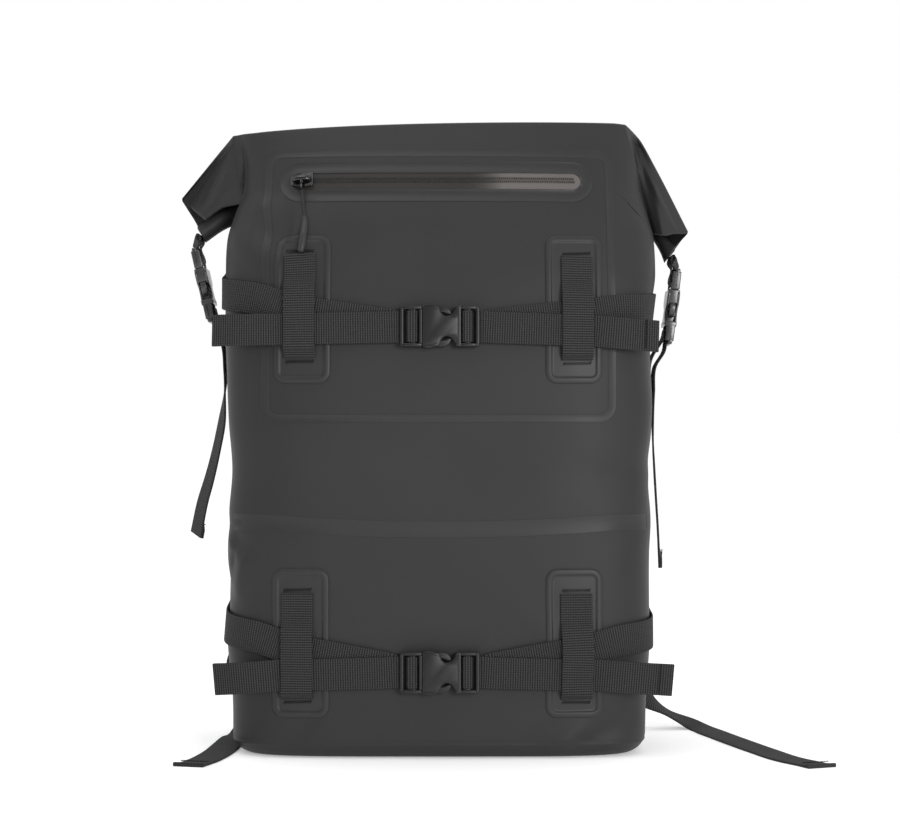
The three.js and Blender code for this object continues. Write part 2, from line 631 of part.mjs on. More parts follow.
// Welded patch under a loop: a thin plate with a raised rim.
function loopPatch({ patchX, patch }) {
  const x = along(patchX);
  const z = high(patch);
  const w = PATCH_WIDTH / 2;
  const h = PATCH_HEIGHT / 2;
  const ringAt = (inset, stand) => {
    const corner = Math.max(PATCH_CORNER - inset, 1);
    return frontLoop(x, z, 2 * (w - inset), 2 * (h - inset), corner, stand, 2, 3);
  };
  const rimTop = PATCH_TOP + PATCH_RIM_RISE;
  const rings = [ringAt(w * 0.55, GAP), ringAt(0, GAP), ringAt(0.4, rimTop), ringAt(PATCH_RIM - 1, rimTop)];
  rings.push(ringAt(PATCH_RIM, PATCH_TOP), ringAt(w - 1, PATCH_TOP));
  return skinRings(rings, false, capMirrored);
}

// Cap of a loop that starts on its upright middle line: point i faces point count - i.
function capMirrored(count, start) {
  const made = [];
  for (let i = 0; i < count / 2; i += 1) {
    const far = (count - i) % count;
    made.push([start + i, start + i + 1, start + count - i - 1], [start + i, start + count - i - 1, start + far]);
  }
  return made.filter((t) => new Set(t).size === 3);
}

// Upright webbing loop: sewn down at both ends and raised over the straps between them.
function strapLoop({ across, foot, top, from, to }) {
  const sewn = PATCH_TOP + GAP + STRAP_THICKNESS / 2;
  const ramp = 0.5 * STRAP_WIDTH * 0.6;
  const heights = [
    [high(foot), sewn],
    [high(from) - 1, sewn + 0.6],
    [high(from) + 0.2 * ramp, LOOP_STAND - 0.6],
    [high(from) + 0.5 * ramp, LOOP_STAND],
    [(high(from) + high(to)) / 2, LOOP_STAND + 0.4],
    [high(to) - 0.3 * ramp, LOOP_STAND],
    [high(to) + 0.4 * ramp, LOOP_STAND - 1],
    [high(to) + ramp, sewn + 1],
    [high(to) + 1.5 * ramp, sewn],
    [high(top), sewn],
  ];
  const x = along(across);
  const steps = heights.map(([z, stand]) => uprightStep(turnAt(x, z), z, stand));
  return band(strapStations(steps, STRAP_WIDTH, STRAP_THICKNESS));
}
Object.entries(LOOPS).forEach(([name, row]) => {
  addPiece("loop_patch_" + name, loopPatch(row), WELD);
  addPiece("strap_loop_" + name, strapLoop(row), WEBBING);
});

// The turn of a strap round the middle bar of a buckle's ladder: distance in from the ladder's
// outer end, and height over the sewn strap, for the middle of the webbing.
const BAR_BASE = STRAP_THICKNESS * 2;
const BAR_TOP = BAR_BASE + BAR_THICKNESS;
const INNER_BAR_END = OUTER_BAR + OUTER_SLOT + MIDDLE_BAR;
const LADDER_LENGTH = INNER_BAR_END + INNER_SLOT;
const OVER_BAR = BAR_TOP + GAP + STRAP_THICKNESS / 2;
const TAIL_RISE = STRAP_THICKNESS + GAP;
const LADDER_TURN = [
  { inwards: -3, rise: 0 },
  { inwards: INNER_BAR_END - 1.1, rise: 0 },
  { inwards: INNER_BAR_END + 1.1, rise: 0.5 },
  { inwards: INNER_BAR_END + 1.8, rise: BAR_BASE - 1 },
  { inwards: INNER_BAR_END + 1.7, rise: BAR_TOP - 0.4 },
  { inwards: INNER_BAR_END + 0.6, rise: OVER_BAR - 0.1 },
  { inwards: INNER_BAR_END - MIDDLE_BAR / 2, rise: OVER_BAR },
  { inwards: OUTER_BAR + OUTER_SLOT - 0.6, rise: OVER_BAR - 0.1 },
  { inwards: OUTER_BAR + OUTER_SLOT - 1.6, rise: BAR_TOP - 0.4 },
  { inwards: OUTER_BAR + OUTER_SLOT - 2, rise: BAR_BASE + 0.1 },
  { inwards: OUTER_BAR + 0.4, rise: TAIL_RISE + 0.2 },
  { inwards: 1, rise: TAIL_RISE },
  { inwards: -3, rise: TAIL_RISE },
];

// Heights of the compression straps as shares of the ridge height: the sewn strap at the buckle,
// under the loop, at the corner, on the side and where it is sewn behind, then the tail at the loop
// and at its free end, and the free end's place as a share of the bag width.
const STRAPS = {
  upper_left: { side: -1, buckle: 0.664, loop: 0.689, corner: 0.71, flank: 0.73, behind: 0.744, tail: 0.6605, tip: 0.6598, tipX: -0.525 },
  upper_right: { side: 1, buckle: 0.664, loop: 0.682, corner: 0.691, flank: 0.701, behind: 0.705, tail: 0.6575, tip: 0.6505, tipX: 0.503 },
  lower_left: { side: -1, buckle: 0.134, loop: 0.167, corner: 0.189, flank: 0.21, behind: 0.222, tail: 0.13, tip: 0.1215, tipX: -0.52 },
  lower_right: { side: 1, buckle: 0.134, loop: 0.165, corner: 0.183, flank: 0.1955, behind: 0.203, tail: 0.13, tip: 0.1207, tipX: 0.535 },
};

// Turns round the bag, in right angles, at which the sewn strap's heights are given, and the turns
// of its steps from where it is sewn behind to the front.
const STRAP_TURNS = { buckle: 0.1, loop: 0.37, corner: 0.5, flank: 1, behind: 1.33 };
const SEWN_TURNS = [1.33, 1.25, 1.12, 1, 0.88, 0.77, 0.69, 0.63, 0.58, 0.54, 0.505, 0.47, 0.43];

// Height of the sewn strap at a turn, by the same smooth curve as the bag's sections.
function sewnHeight(row, turn) {
  const rows = Object.entries(STRAP_TURNS).map(([key, at]) => ({ at, height: row[key] }));
  return high(columnAt(rows, "at", Math.abs(turn) / (HALF_TURN / 2), "height"));
}

function compressionStrap(row) {
  const { side } = row;
  const buckleZ = high(row.buckle);
  const ladderX = BUCKLE_LENGTH / 2;
  const loopX = along(0.36);
  const steps = SEWN_TURNS.map((share) => {
    const turn = (side * share * HALF_TURN) / 2;
    const onSide = THREE.MathUtils.smoothstep(share, 0.55, 0.75);
    const stand = THREE.MathUtils.lerp(SEWN_STAND, STRAP_THICKNESS / 2 + 4 * GAP, onSide);
    return levelStep(turn, sewnHeight(row, turn), stand);
  });
  spread(along(0.33), ladderX + STRAP_SETTLE, 4).forEach((x) => {
    const turn = turnAt(side * x, buckleZ);
    steps.push(levelStep(turn, sewnHeight(row, turn), SEWN_STAND));
  });
  const seat = buckleSeat(buckleZ);
  LADDER_TURN.forEach(({ inwards, rise }) => {
    const middle = seat.middle.clone().addScaledVector(seat.out, rise);
    middle.x += side * (ladderX - inwards);
    steps.push({ middle, across: seat.across });
  });
  spread(ladderX + 1.2 * STRAP_SETTLE, loopX, 4).forEach((x) => {
    const share = (x - ladderX) / (loopX - ladderX);
    const z = THREE.MathUtils.lerp(buckleZ, high(row.tail), share);
    steps.push(levelStep(turnAt(side * x, z), z, TAIL_STAND));
  });
  const leave = steps[steps.length - 1];
  const tip = new THREE.Vector3(along(row.tipX), leave.middle.y + deep(0.045), high(row.tip));
  [0.35, 0.7, 1].forEach((share) => {
    const middle = leave.middle.clone().lerp(tip, share);
    const bow = deep(0.012) * Math.sin(HALF_TURN * share);
    middle.y = THREE.MathUtils.lerp(leave.middle.y, tip.y, share ** 2) - bow;
    steps.push({ middle, across: leave.across });
  });
  return band(strapStations(steps, STRAP_WIDTH, STRAP_THICKNESS, true));
}

// Where a front buckle lies on the sewn strap, with its outward and upward directions.
function buckleSeat(z) {
  return { middle: offWall(0, z, SEWN_STAND), across: upWall(0, z), out: wallNormal(0, z) };
}
Object.entries(STRAPS).forEach(([name, row]) => {
  addPiece("compression_strap_" + name, compressionStrap(row), WEBBING);
});

// Side-release buckle, drawn flat: its length runs along the first axis with the middle at 0 and
// its third axis is the height over the sewn strap. The prongs' half has its ladder at -length/2.
const BAR_MIDDLE = (BAR_BASE + BAR_TOP) / 2;
const TAB_TOP = LADDER_LENGTH + OUTER_BAR + LADDER_EYE + TAB_REACH;
const BODY_BASE = -STRAP_THICKNESS;
const BODY_TOP = BODY_BASE + BUCKLE_BODY_THICKNESS;
const PRONG_BASE = (BODY_BASE + BODY_TOP - PRONG_THICKNESS) / 2;
const PRONG_TOP = PRONG_BASE + PRONG_THICKNESS;

// Ladder at one end of the buckle, reaching inwards to the given distance from that end.
function ladderFrame(sign, innerEnd) {
  const end = (sign * BUCKLE_LENGTH) / 2;
  const box = (a, b, half, draw) => {
    const ends = [end - sign * a, end - sign * b];
    return draw(Math.min(...ends), -half, Math.max(...ends), half, OUTER_BAR * 0.6);
  };
  const slots = [[OUTER_BAR, OUTER_BAR + OUTER_SLOT], [INNER_BAR_END, LADDER_LENGTH]];
  return cutFrom(
    plate(box(0, innerEnd, BUCKLE_WIDTH / 2, cutBox), BAR_BASE, BAR_TOP),
    slots.map(([a, b]) => plate(box(a, b, SLOT_LENGTH / 2, plainBox), BAR_BASE - 1, BAR_TOP + 1)),
  );
}

// Half with the prongs: two springing arms with heads, and a guide between them.
function buckleProngs() {
  const root = -BUCKLE_LENGTH / 2 + LADDER_LENGTH;
  const length = socketLength();
  const w = BUCKLE_WIDTH / 2;
  const guide = plainBox(root, -w * 0.22, root + length * 0.6, w * 0.22);
  const shoulder = plainBox(root, -w * 0.84, root + SHOULDER, w * 0.84);
  const arm = (sign) => [
    [root, sign * w * 0.58], [root, sign * w * 0.8], [root + length * 0.37, sign * w * 0.72],
    [root + length * 0.47, sign * w * 0.96], [root + length * 0.74, sign * w * 0.96],
    [root + length * 0.84, sign * w * 0.6], [root + length * 0.4, sign * w * 0.5],
  ];
  const shapes = [guide, shoulder, arm(1), arm(-1)];
  const solids = shapes.map((shape) => plate(shape, PRONG_BASE, PRONG_TOP));
  return geometryOf(joined([ladderFrame(-1, LADDER_LENGTH + SHOULDER), ...solids]));
}

// Half with the socket: a housing, hollow and open to the prongs, with a window on each side.
function buckleSocket() {
  const root = -BUCKLE_LENGTH / 2 + LADDER_LENGTH + SHOULDER + GAP;
  const length = socketLength();
  const w = BUCKLE_WIDTH / 2;
  const end = root + length;
  const housing = plate(cutBox(root, -w, end, w, w * 0.16), BODY_BASE, BODY_TOP);
  const cavityBox = plainBox(root - 1, -w * 0.9, end - WALL, w * 0.9);
  const cavity = plate(cavityBox, PRONG_BASE - 2 * GAP, PRONG_TOP + 2 * GAP);
  const windows = [1, -1].map((sign) => {
    const outline = [
      [root + length * 0.34, sign * (w + 1)], [root + length * 0.4, sign * w * 0.62],
      [root + length * 0.84, sign * w * 0.5], [root + length * 0.94, sign * (w + 1)],
    ];
    return plate(outline, BODY_BASE - 1, BODY_TOP + 1);
  });
  return geometryOf(joined([cutFrom(housing, [cavity, ...windows]), ladderFrame(1, LADDER_LENGTH + 1)]));
}

// Length of the socket's housing, between the prongs' shoulder and its own ladder.
function socketLength() {
  return BUCKLE_LENGTH - 2 * LADDER_LENGTH - SHOULDER - GAP;
}

// Fastened front buckles on the compression straps.
["upper", "lower"].forEach((level) => {
  const z = high(STRAPS[level + "_left"].buckle);
  const { middle, out } = buckleSeat(z);
  faceOut(addPiece("front_buckle_prongs_" + level, buckleProngs(), PLASTIC), middle, RIGHTWARDS, out);
  faceOut(addPiece("front_buckle_socket_" + level, buckleSocket(), PLASTIC), middle, RIGHTWARDS, out);
});

// Sides: the buckle's ends, the ear it hangs from, the sewn strap's foot on the side and the tail,
// in shares of bag width, bag depth and ridge height. A tail's last column is how far it is turned.
const FLANKS = {
  left: {
    side: -1, ear: LEFT_EAR[LEFT_EAR.length - 1], top: [-0.576, 0.05, 0.7985], low: [-0.536, 0.04, 0.6805],
    foot: [0.645, 0.61],
    tail: [
      [-0.52, 0.02, 0.638, 0], [-0.5145, 0, 0.598, 0], [-0.516, -0.02, 0.56, 0.12], [-0.5215, -0.02, 0.522, 0.3],
      [-0.536, -0.01, 0.473, 0.36], [-0.554, 0, 0.425, 0.42], [-0.57, 0.02, 0.39, 0.46], [-0.587, 0.04, 0.337, 0.5],
    ],
  },
  right: {
    side: 1, ear: RIGHT_EAR[RIGHT_EAR.length - 1], top: [0.556, 0.05, 0.7645], low: [0.535, 0.04, 0.6465],
    foot: [0.612, 0.58],
    tail: [
      [0.514, 0.02, 0.605, 0], [0.51, 0, 0.565, 0], [0.5085, -0.02, 0.53, 0.04], [0.509, -0.02, 0.49, 0.08],
      [0.513, -0.01, 0.44, 0.1], [0.5175, 0, 0.393, 0.1], [0.523, 0.02, 0.34, 0.1], [0.527, 0.04, 0.288, 0.1],
    ],
  },
};
const place = ([x, y, z]) => new THREE.Vector3(along(x), deep(y), high(z));
// Local frame of a side buckle: down its length, with its face away from the bag.
function flankFrame(row) {
  const top = place(row.top);
  const down = place(row.low).sub(top).setLength(1);
  const middle = top.clone().addScaledVector(down, BUCKLE_LENGTH / 2);
  const out = DEPTHWISE.clone().cross(down).multiplyScalar(-row.side).normalize();
  if (out.x * row.side < 0) out.negate();
  return { middle, down, out };
}

// Loop of webbing through the buckle's upper ladder, with its gathered end at the roll.
function earLoop(row) {
  const { middle, down, out } = flankFrame(row);
  const at = (inwards, rise) =>
    middle.clone().addScaledVector(down, inwards - BUCKLE_LENGTH / 2).addScaledVector(out, rise);
  const end = place([row.ear.rollX, row.ear.rollY, row.ear.rollZ]);
  const sweep = new THREE.Vector3(row.side * 0.75, 0, -0.66).normalize();
  const root = end.clone().addScaledVector(sweep, ROLL_LAYER + GAP);
  const low = root.clone().addScaledVector(out, -1);
  const top = root.clone().addScaledVector(out, STRAP_THICKNESS - 0.4);
  const points = [
    low,
    low.clone().lerp(at(-3, 0), 0.5),
    ...LADDER_TURN.slice(0, -1).map(({ inwards, rise }) => at(inwards, rise)),
    at(-4, TAIL_RISE + 0.4),
    at(-4, TAIL_RISE + 0.4).lerp(top, 0.55),
    top,
  ];
  const steps = points.map((middle) => ({ middle, across: DEPTHWISE }));
  const stations = strapStations(steps, STRAP_WIDTH, STRAP_THICKNESS);
  const gathered = [0, 1, stations.length - 2, stations.length - 1];
  gathered.forEach((i, order) => {
    stations[i].width = STRAP_WIDTH * (order === 0 || order === 3 ? 0.45 : 0.75);
  });
  return band(stations);
}

// Side strap: sewn to the side of the bag, up through the buckle's lower ladder, and hanging down.
function sideStrap(row) {
  const { middle, down, out } = flankFrame(row);
  const at = (inwards, rise) =>
    middle.clone().addScaledVector(down, BUCKLE_LENGTH / 2 - inwards).addScaledVector(out, rise);
  const turn = (row.side * HALF_TURN) / 2;
  const across = DEPTHWISE;
  const steps = [...row.foot].reverse().map((share) => {
    return { middle: offWall(turn, high(share), STRAP_THICKNESS / 2 + 2 * GAP), across };
  });
  LADDER_TURN.slice(1).forEach(({ inwards, rise }) => steps.push({ middle: at(inwards, rise), across }));
  row.tail.forEach((shares) => {
    const turned = new THREE.Vector3(shares[3] * row.side, 1, 0).normalize();
    steps.push({ middle: place(shares), across: turned });
  });
  return band(strapStations(steps, STRAP_WIDTH, STRAP_THICKNESS, true));
}
Object.entries(FLANKS).forEach(([name, row]) => {
  const { middle, down, out } = flankFrame(row);
  addPiece("ear_loop_" + name, earLoop(row), WEBBING);
  faceOut(addPiece("side_buckle_prongs_" + name, buckleProngs(), PLASTIC), middle, down, out);
  faceOut(addPiece("side_buckle_socket_" + name, buckleSocket(), PLASTIC), middle, down, out);
  addPiece("side_strap_" + name, sideStrap(row), WEBBING);
});

// The back: straps in shares of bag width, bag depth and ridge height, for the right side and
// mirrored for the left, except the loose tails, which lie as they fell.
const PAD_ROUTE = [
  [0.165, 0.545, 0.705], [0.215, 0.6, 0.62], [0.265, 0.62, 0.51], [0.305, 0.615, 0.42],
];
// Where it is sewn down: shares of bag width and ridge height, and its lift in gaps.
const PAD_SEWN = [[0.125, 0.8, 3], [0.14, 0.76, 6]];
const LADDER_TOP = [0.35, 0.592, 0.308];
const LADDER_LOW = [0.36, 0.578, 0.262];
const LOWER_FOOT = [0.395, 0.47, 0.07];
const TAILS = {
  left: [
    [-0.42, 0.62, 0.19], [-0.478, 0.635, 0.145], [-0.508, 0.635, 0.11], [-0.486, 0.62, 0.065], [-0.474, 0.59, 0.022],
    [-0.487, 0.45, 0], [-0.5, 0.25, 0], [-0.508, 0, 0], [-0.518, -0.3, 0], [-0.54, -0.58, 0], [-0.565, -0.755, 0],
  ],
  right: [
    [0.42, 0.63, 0.19], [0.46, 0.65, 0.115], [0.515, 0.66, 0.052], [0.575, 0.665, 0.024], [0.64, 0.65, 0.004],
    [0.68, 0.4, 0], [0.715, 0.1, 0], [0.758, -0.25, 0], [0.803, -0.56, 0], [0.838, -0.7, 0], [0.857, -0.79, 0],
  ],
};
const mirrorX = (side) => (point) => [side * point[0], point[1], point[2]];

// A padded strap: an oval cross-section carried along its route.
function paddedStrap(side) {
  const { low, up, out: face } = ladderAxes(side);
  const stand = PATCH_THICKNESS + PAD_THICKNESS / 2;
  const sewn = PAD_SEWN.map(([x, z, lift]) => {
    return offWall(backTurn(side * along(x), high(z)), high(z), stand + lift * GAP);
  });
  const ends = [TAB_TOP + 2 * PAD_THICKNESS, TAB_TOP + 2 * GAP].map((length) => {
    return low.clone().addScaledVector(up, length).addScaledVector(face, BAR_MIDDLE);
  });
  const path = new THREE.CatmullRomCurve3([...sewn, ...PAD_ROUTE.map(mirrorX(side)).map(place), ...ends]);
  const steps = path.getSpacedPoints(11).map((middle) => ({ middle, across: RIGHTWARDS }));
  const stations = strapStations(steps, PAD_WIDTH, PAD_THICKNESS);
  const rings = stations.map(({ middle, across, out }, i) => {
    const last = stations.length - 1;
    const narrow = 1 - 0.45 * THREE.MathUtils.smoothstep(i, last - 4, last);
    const section = [[-1, -0.25], [-0.82, -1], [0.82, -1], [1, -0.25], [1, 0.25], [0.82, 1], [-0.82, 1], [-1, 0.25]];
    return section.map(([a, b]) =>
      middle
        .clone()
        .addScaledVector(across, (a * PAD_WIDTH * narrow) / 2)
        .addScaledVector(out, (b * PAD_THICKNESS) / 2),
    );
  });
  return skinRings(rings, false, capFan);
}

// Local frame of an adjuster: up its length towards the padded strap, its face away from the bag.
function ladderAxes(side) {
  const top = place(mirrorX(side)(LADDER_TOP));
  const low = place(mirrorX(side)(LADDER_LOW));
  const up = top.clone().sub(low).normalize();
  const across = RIGHTWARDS.clone().addScaledVector(up, -up.x).normalize();
  const out = across.clone().cross(up).normalize();
  if (out.y < 0) out.negate();
  return { low, up, across, out };
}

// Adjuster: a ladder of two slots with an eye for the tab above it.
function ladderLock() {
  const w = LADDER_WIDTH / 2;
  const s = SLOT_LENGTH / 2;
  const eye = LADDER_LENGTH + OUTER_BAR;
  const slots = [[OUTER_BAR, OUTER_BAR + OUTER_SLOT], [INNER_BAR_END, LADDER_LENGTH], [eye, eye + LADDER_EYE]];
  const outline = cutBox(0, -w, eye + LADDER_EYE + OUTER_BAR, w, OUTER_BAR * 0.8);
  const cuts = slots.map(([a, b]) => plate(plainBox(a, -s, b, s), BAR_BASE - 1, BAR_TOP + 1));
  return geometryOf(cutFrom(plate(outline, BAR_BASE, BAR_TOP), cuts));
}

// Tab of webbing from the padded strap round the adjuster's upper bar.
function shoulderTab(side) {
  const { low, up, across, out } = ladderAxes(side);
  const at = (inwards, rise) => low.clone().addScaledVector(up, inwards).addScaledVector(out, rise);
  const bar = LADDER_LENGTH + OUTER_BAR + LADDER_EYE;
  const middle = BAR_MIDDLE;
  const clear = BAR_THICKNESS / 2 + STRAP_THICKNESS / 2 + 2 * GAP;
  const points = [
    at(TAB_TOP, middle - STRAP_THICKNESS / 2 - GAP),
    at(bar + 5, middle - clear),
    at(bar + 0.5, middle - clear),
    at(bar - 1.6, middle - clear / 2),
    at(bar - 1.6, middle + clear / 2),
    at(bar + 0.5, middle + clear),
    at(bar + 5, middle + clear),
    at(TAB_TOP, middle + STRAP_THICKNESS / 2 + GAP),
  ];
  const steps = points.map((middle) => ({ middle, across }));
  return band(strapStations(steps, STRAP_WIDTH, STRAP_THICKNESS));
}

// Lower strap: sewn at the lower corner of the back, up through the adjuster, and down to the floor.
function lowerStrap(name, side) {
  const { low, up, across, out } = ladderAxes(side);
  const at = ({ inwards, rise }) => low.clone().addScaledVector(up, inwards).addScaledVector(out, rise);
  const [footX, , footZ] = LOWER_FOOT;
  const sewn = [-HEM_LENGTH, 0].map((drop) => {
    const z = high(footZ) + drop;
    return uprightStep(backTurn(side * along(footX), z), z, ANCHOR_STAND);
  });
  const turn = LADDER_TURN.map(at);
  const rising = { middle: sewn[1].middle.clone().lerp(turn[0], 0.55), across };
  const steps = [...sewn, rising, ...turn.map((middle) => ({ middle, across }))];
  sewn.forEach((step) => step.across.multiplyScalar(Math.sign(step.across.x)));
  const tail = TAILS[name].map(([x, y, z]) => place([x, y, z]).add(new THREE.Vector3(0, 0, STRAP_THICKNESS / 2)));
  tail.forEach((middle, i) => {
    const ahead = tail[Math.min(i + 1, tail.length - 1)];
    const behind = tail[Math.max(i - 1, 0)];
    const flat = new THREE.Vector3(behind.y - ahead.y, ahead.x - behind.x, 0).normalize();
    const laid = across.clone().lerp(flat, THREE.MathUtils.smoothstep(i, 0, 4)).normalize();
    steps.push({ middle, across: laid });
  });
  return band(strapStations(steps, STRAP_WIDTH, STRAP_THICKNESS, true));
}
const ANCHOR_STAND = GAP + PATCH_THICKNESS + GAP + STRAP_THICKNESS / 2;

// Welded patches of the back: one for both padded straps and one at each lower corner.
function backPatch(x0, x1, z, height, steps) {
  const route = spread(x0, x1, steps).map((x) => levelStep(backTurn(x, z), z, GAP + PATCH_THICKNESS / 2));
  return band(strapStations(route, height, PATCH_THICKNESS));
}
addPiece("shoulder_yoke", backPatch(along(-0.25), along(0.25), high(0.79), PATCH_WIDTH / 2, 8), WELD);
[["left", -1], ["right", 1]].forEach(([name, side]) => {
  addPiece("shoulder_strap_" + name, paddedStrap(side), PADDING);
  const { low, up, out } = ladderAxes(side);
  faceOut(addPiece("ladder_lock_" + name, ladderLock(), PLASTIC), low, up, out);
  addPiece("shoulder_tab_" + name, shoulderTab(side), WEBBING);
  addPiece("lower_strap_" + name, lowerStrap(name, side), WEBBING);
  const [inner, outer] = [0.35, 0.44].map((share) => side * along(share));
  addPiece("lower_anchor_" + name, backPatch(inner, outer, high(0.06), PATCH_WIDTH * 0.8, 5), WELD);
});

addPiece("bag_body", bagBody(), FABRIC);
addPiece("rolled_top", rolledTop(), FABRIC);

export default bag;
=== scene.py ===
"""Looks of a waterproof roll-top backpack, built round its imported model.

Shapes are worked out in millimetres with numpy and turned to metres as each mesh is made. The front
of the bag faces -Y, +X is to the right seen from the front, and the floor is at z = 0.
"""

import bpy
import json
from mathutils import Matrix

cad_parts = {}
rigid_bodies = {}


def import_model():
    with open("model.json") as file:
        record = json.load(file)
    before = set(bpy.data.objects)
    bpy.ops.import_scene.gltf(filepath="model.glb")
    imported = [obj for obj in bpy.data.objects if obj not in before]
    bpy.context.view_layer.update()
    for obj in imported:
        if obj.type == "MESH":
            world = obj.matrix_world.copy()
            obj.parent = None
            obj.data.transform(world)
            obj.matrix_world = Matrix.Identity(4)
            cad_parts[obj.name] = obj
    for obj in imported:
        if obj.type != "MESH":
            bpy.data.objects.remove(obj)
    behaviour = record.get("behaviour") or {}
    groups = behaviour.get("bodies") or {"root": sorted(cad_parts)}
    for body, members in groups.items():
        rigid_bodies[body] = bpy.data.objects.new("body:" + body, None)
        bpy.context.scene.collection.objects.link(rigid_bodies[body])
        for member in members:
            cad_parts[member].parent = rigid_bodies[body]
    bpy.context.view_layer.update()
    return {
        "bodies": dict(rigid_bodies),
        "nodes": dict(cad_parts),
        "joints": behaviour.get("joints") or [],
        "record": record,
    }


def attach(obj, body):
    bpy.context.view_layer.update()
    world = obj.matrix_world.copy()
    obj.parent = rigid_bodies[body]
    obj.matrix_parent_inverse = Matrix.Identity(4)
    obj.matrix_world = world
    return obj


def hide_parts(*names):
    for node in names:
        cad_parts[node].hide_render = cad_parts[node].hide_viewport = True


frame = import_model()

import json
import logging
import math
from dataclasses import dataclass
from enum import Enum

import bmesh
import bpy
import numpy as np
from mathutils import Matrix, Vector

LOG = logging.getLogger("backpack")
MM = 0.001
TAU = 2 * math.pi
BODY = "root"
SIDES = {"left": -1, "right": 1}
SWELL_FRAMES = 20
Array = np.ndarray
Material = bpy.types.Material
# The finished materials by name, filled before the first piece is made.
MATERIALS: dict[str, Material] = {}


@dataclass
class Surface:
    """Points in millimetres, quads of point numbers, and a flat map in millimetres for patterns."""

    points: Array
    faces: Array
    flat: Array

    def moved(self, matrix: Array, shift: Array) -> "Surface":
        """Turned by a 3 by 3 matrix and then shifted."""
        return Surface(self.points @ matrix.T + shift, self.faces, self.flat)


def joined(surfaces: list[Surface]) -> Surface:
    """Several surfaces as one, without merging their points.

    Args:
        surfaces: the surfaces.

    Returns:
        the one surface.
    """
    starts = np.cumsum([0] + [len(s.points) for s in surfaces[:-1]])
    faces = [s.faces + start for s, start in zip(surfaces, starts)]
    return Surface(
        np.concatenate([s.points for s in surfaces]),
        np.concatenate(faces),
        np.concatenate([s.flat for s in surfaces]),
    )


def grid(points: Array, flat: Array, wrap_rows: bool = False, wrap_columns: bool = False) -> Surface:
    """Surface over a grid of points.

    Args:
        points: rows by columns by 3.
        flat: rows by columns by 2, the flat map.
        wrap_rows: the last row joins the first.
        wrap_columns: the last column joins the first.

    Returns:
        A surface whose quads run row to row.
    """
    rows, columns = points.shape[:2]
    number = np.arange(rows * columns).reshape(rows, columns)
    if wrap_rows:
        number = np.concatenate([number, number[:1]])
    if wrap_columns:
        number = np.concatenate([number, number[:, :1]], axis=1)
    corners = [number[:-1, :-1], number[:-1, 1:], number[1:, 1:], number[1:, :-1]]
    faces = np.stack([c.ravel() for c in corners], axis=1)
    return Surface(points.reshape(-1, 3), faces, flat.reshape(-1, 2))


def end_cap(ring: Array, flat: Array) -> Surface:
    """Closes a ring whose point i faces point count - 1 - i, with a strip of quads across it.

    Args:
        ring: its points.
        flat: their places in the flat map.

    Returns:
        the cap.
    """
    half = len(ring) // 2
    pairs = np.stack([ring[:half], ring[::-1][:half]])
    return grid(pairs, np.stack([flat[:half], flat[::-1][:half]]))


def steady(knots: Array, values: Array, at: Array) -> Array:
    """Smooth values between knots that never overshoot them.

    Each stretch is a cubic whose end slopes are the harmonic mean of the slopes on both sides, and
    nought where those differ in sign.

    Args:
        knots: rising places of the knots.
        values: one row of values for each knot.
        at: the places asked for.

    Returns:
        One row of values for each place.
    """
    values = np.asarray(values, float).reshape(len(knots), -1)
    step = np.diff(knots)[:, None]
    slope = np.diff(values, axis=0) / step
    before, after = slope[:-1], slope[1:]
    same = before * after > 0
    mean = np.where(same, 2 * before * after / np.where(same, before + after, 1), 0)
    slopes = np.concatenate([slope[:1], mean, slope[-1:]])
    i = np.clip(np.searchsorted(knots, at, side="right") - 1, 0, len(knots) - 2)
    h = step[i]
    t = np.clip((np.asarray(at)[:, None] - knots[i][:, None]) / h, 0, 1)
    low = values[i] * (2 * t**3 - 3 * t**2 + 1) + slopes[i] * h * (t**3 - 2 * t**2 + t)
    return low + values[i + 1] * (3 * t**2 - 2 * t**3) + slopes[i + 1] * h * (t**3 - t**2)


def unit(vectors: Array) -> Array:
    """Vectors of length one."""
    return vectors / np.maximum(np.linalg.norm(vectors, axis=-1, keepdims=True), 1e-9)


def lengths_along(points: Array) -> Array:
    """Distance along a line of points, from its first."""
    return np.concatenate([[0], np.cumsum(np.linalg.norm(np.diff(points, axis=0), axis=1))])


def smooth_share(t: Array) -> Array:
    """From 0 to 1 with level ends, as three t squared less two t cubed."""
    t = np.clip(t, 0, 1)
    return t * t * (3 - 2 * t)


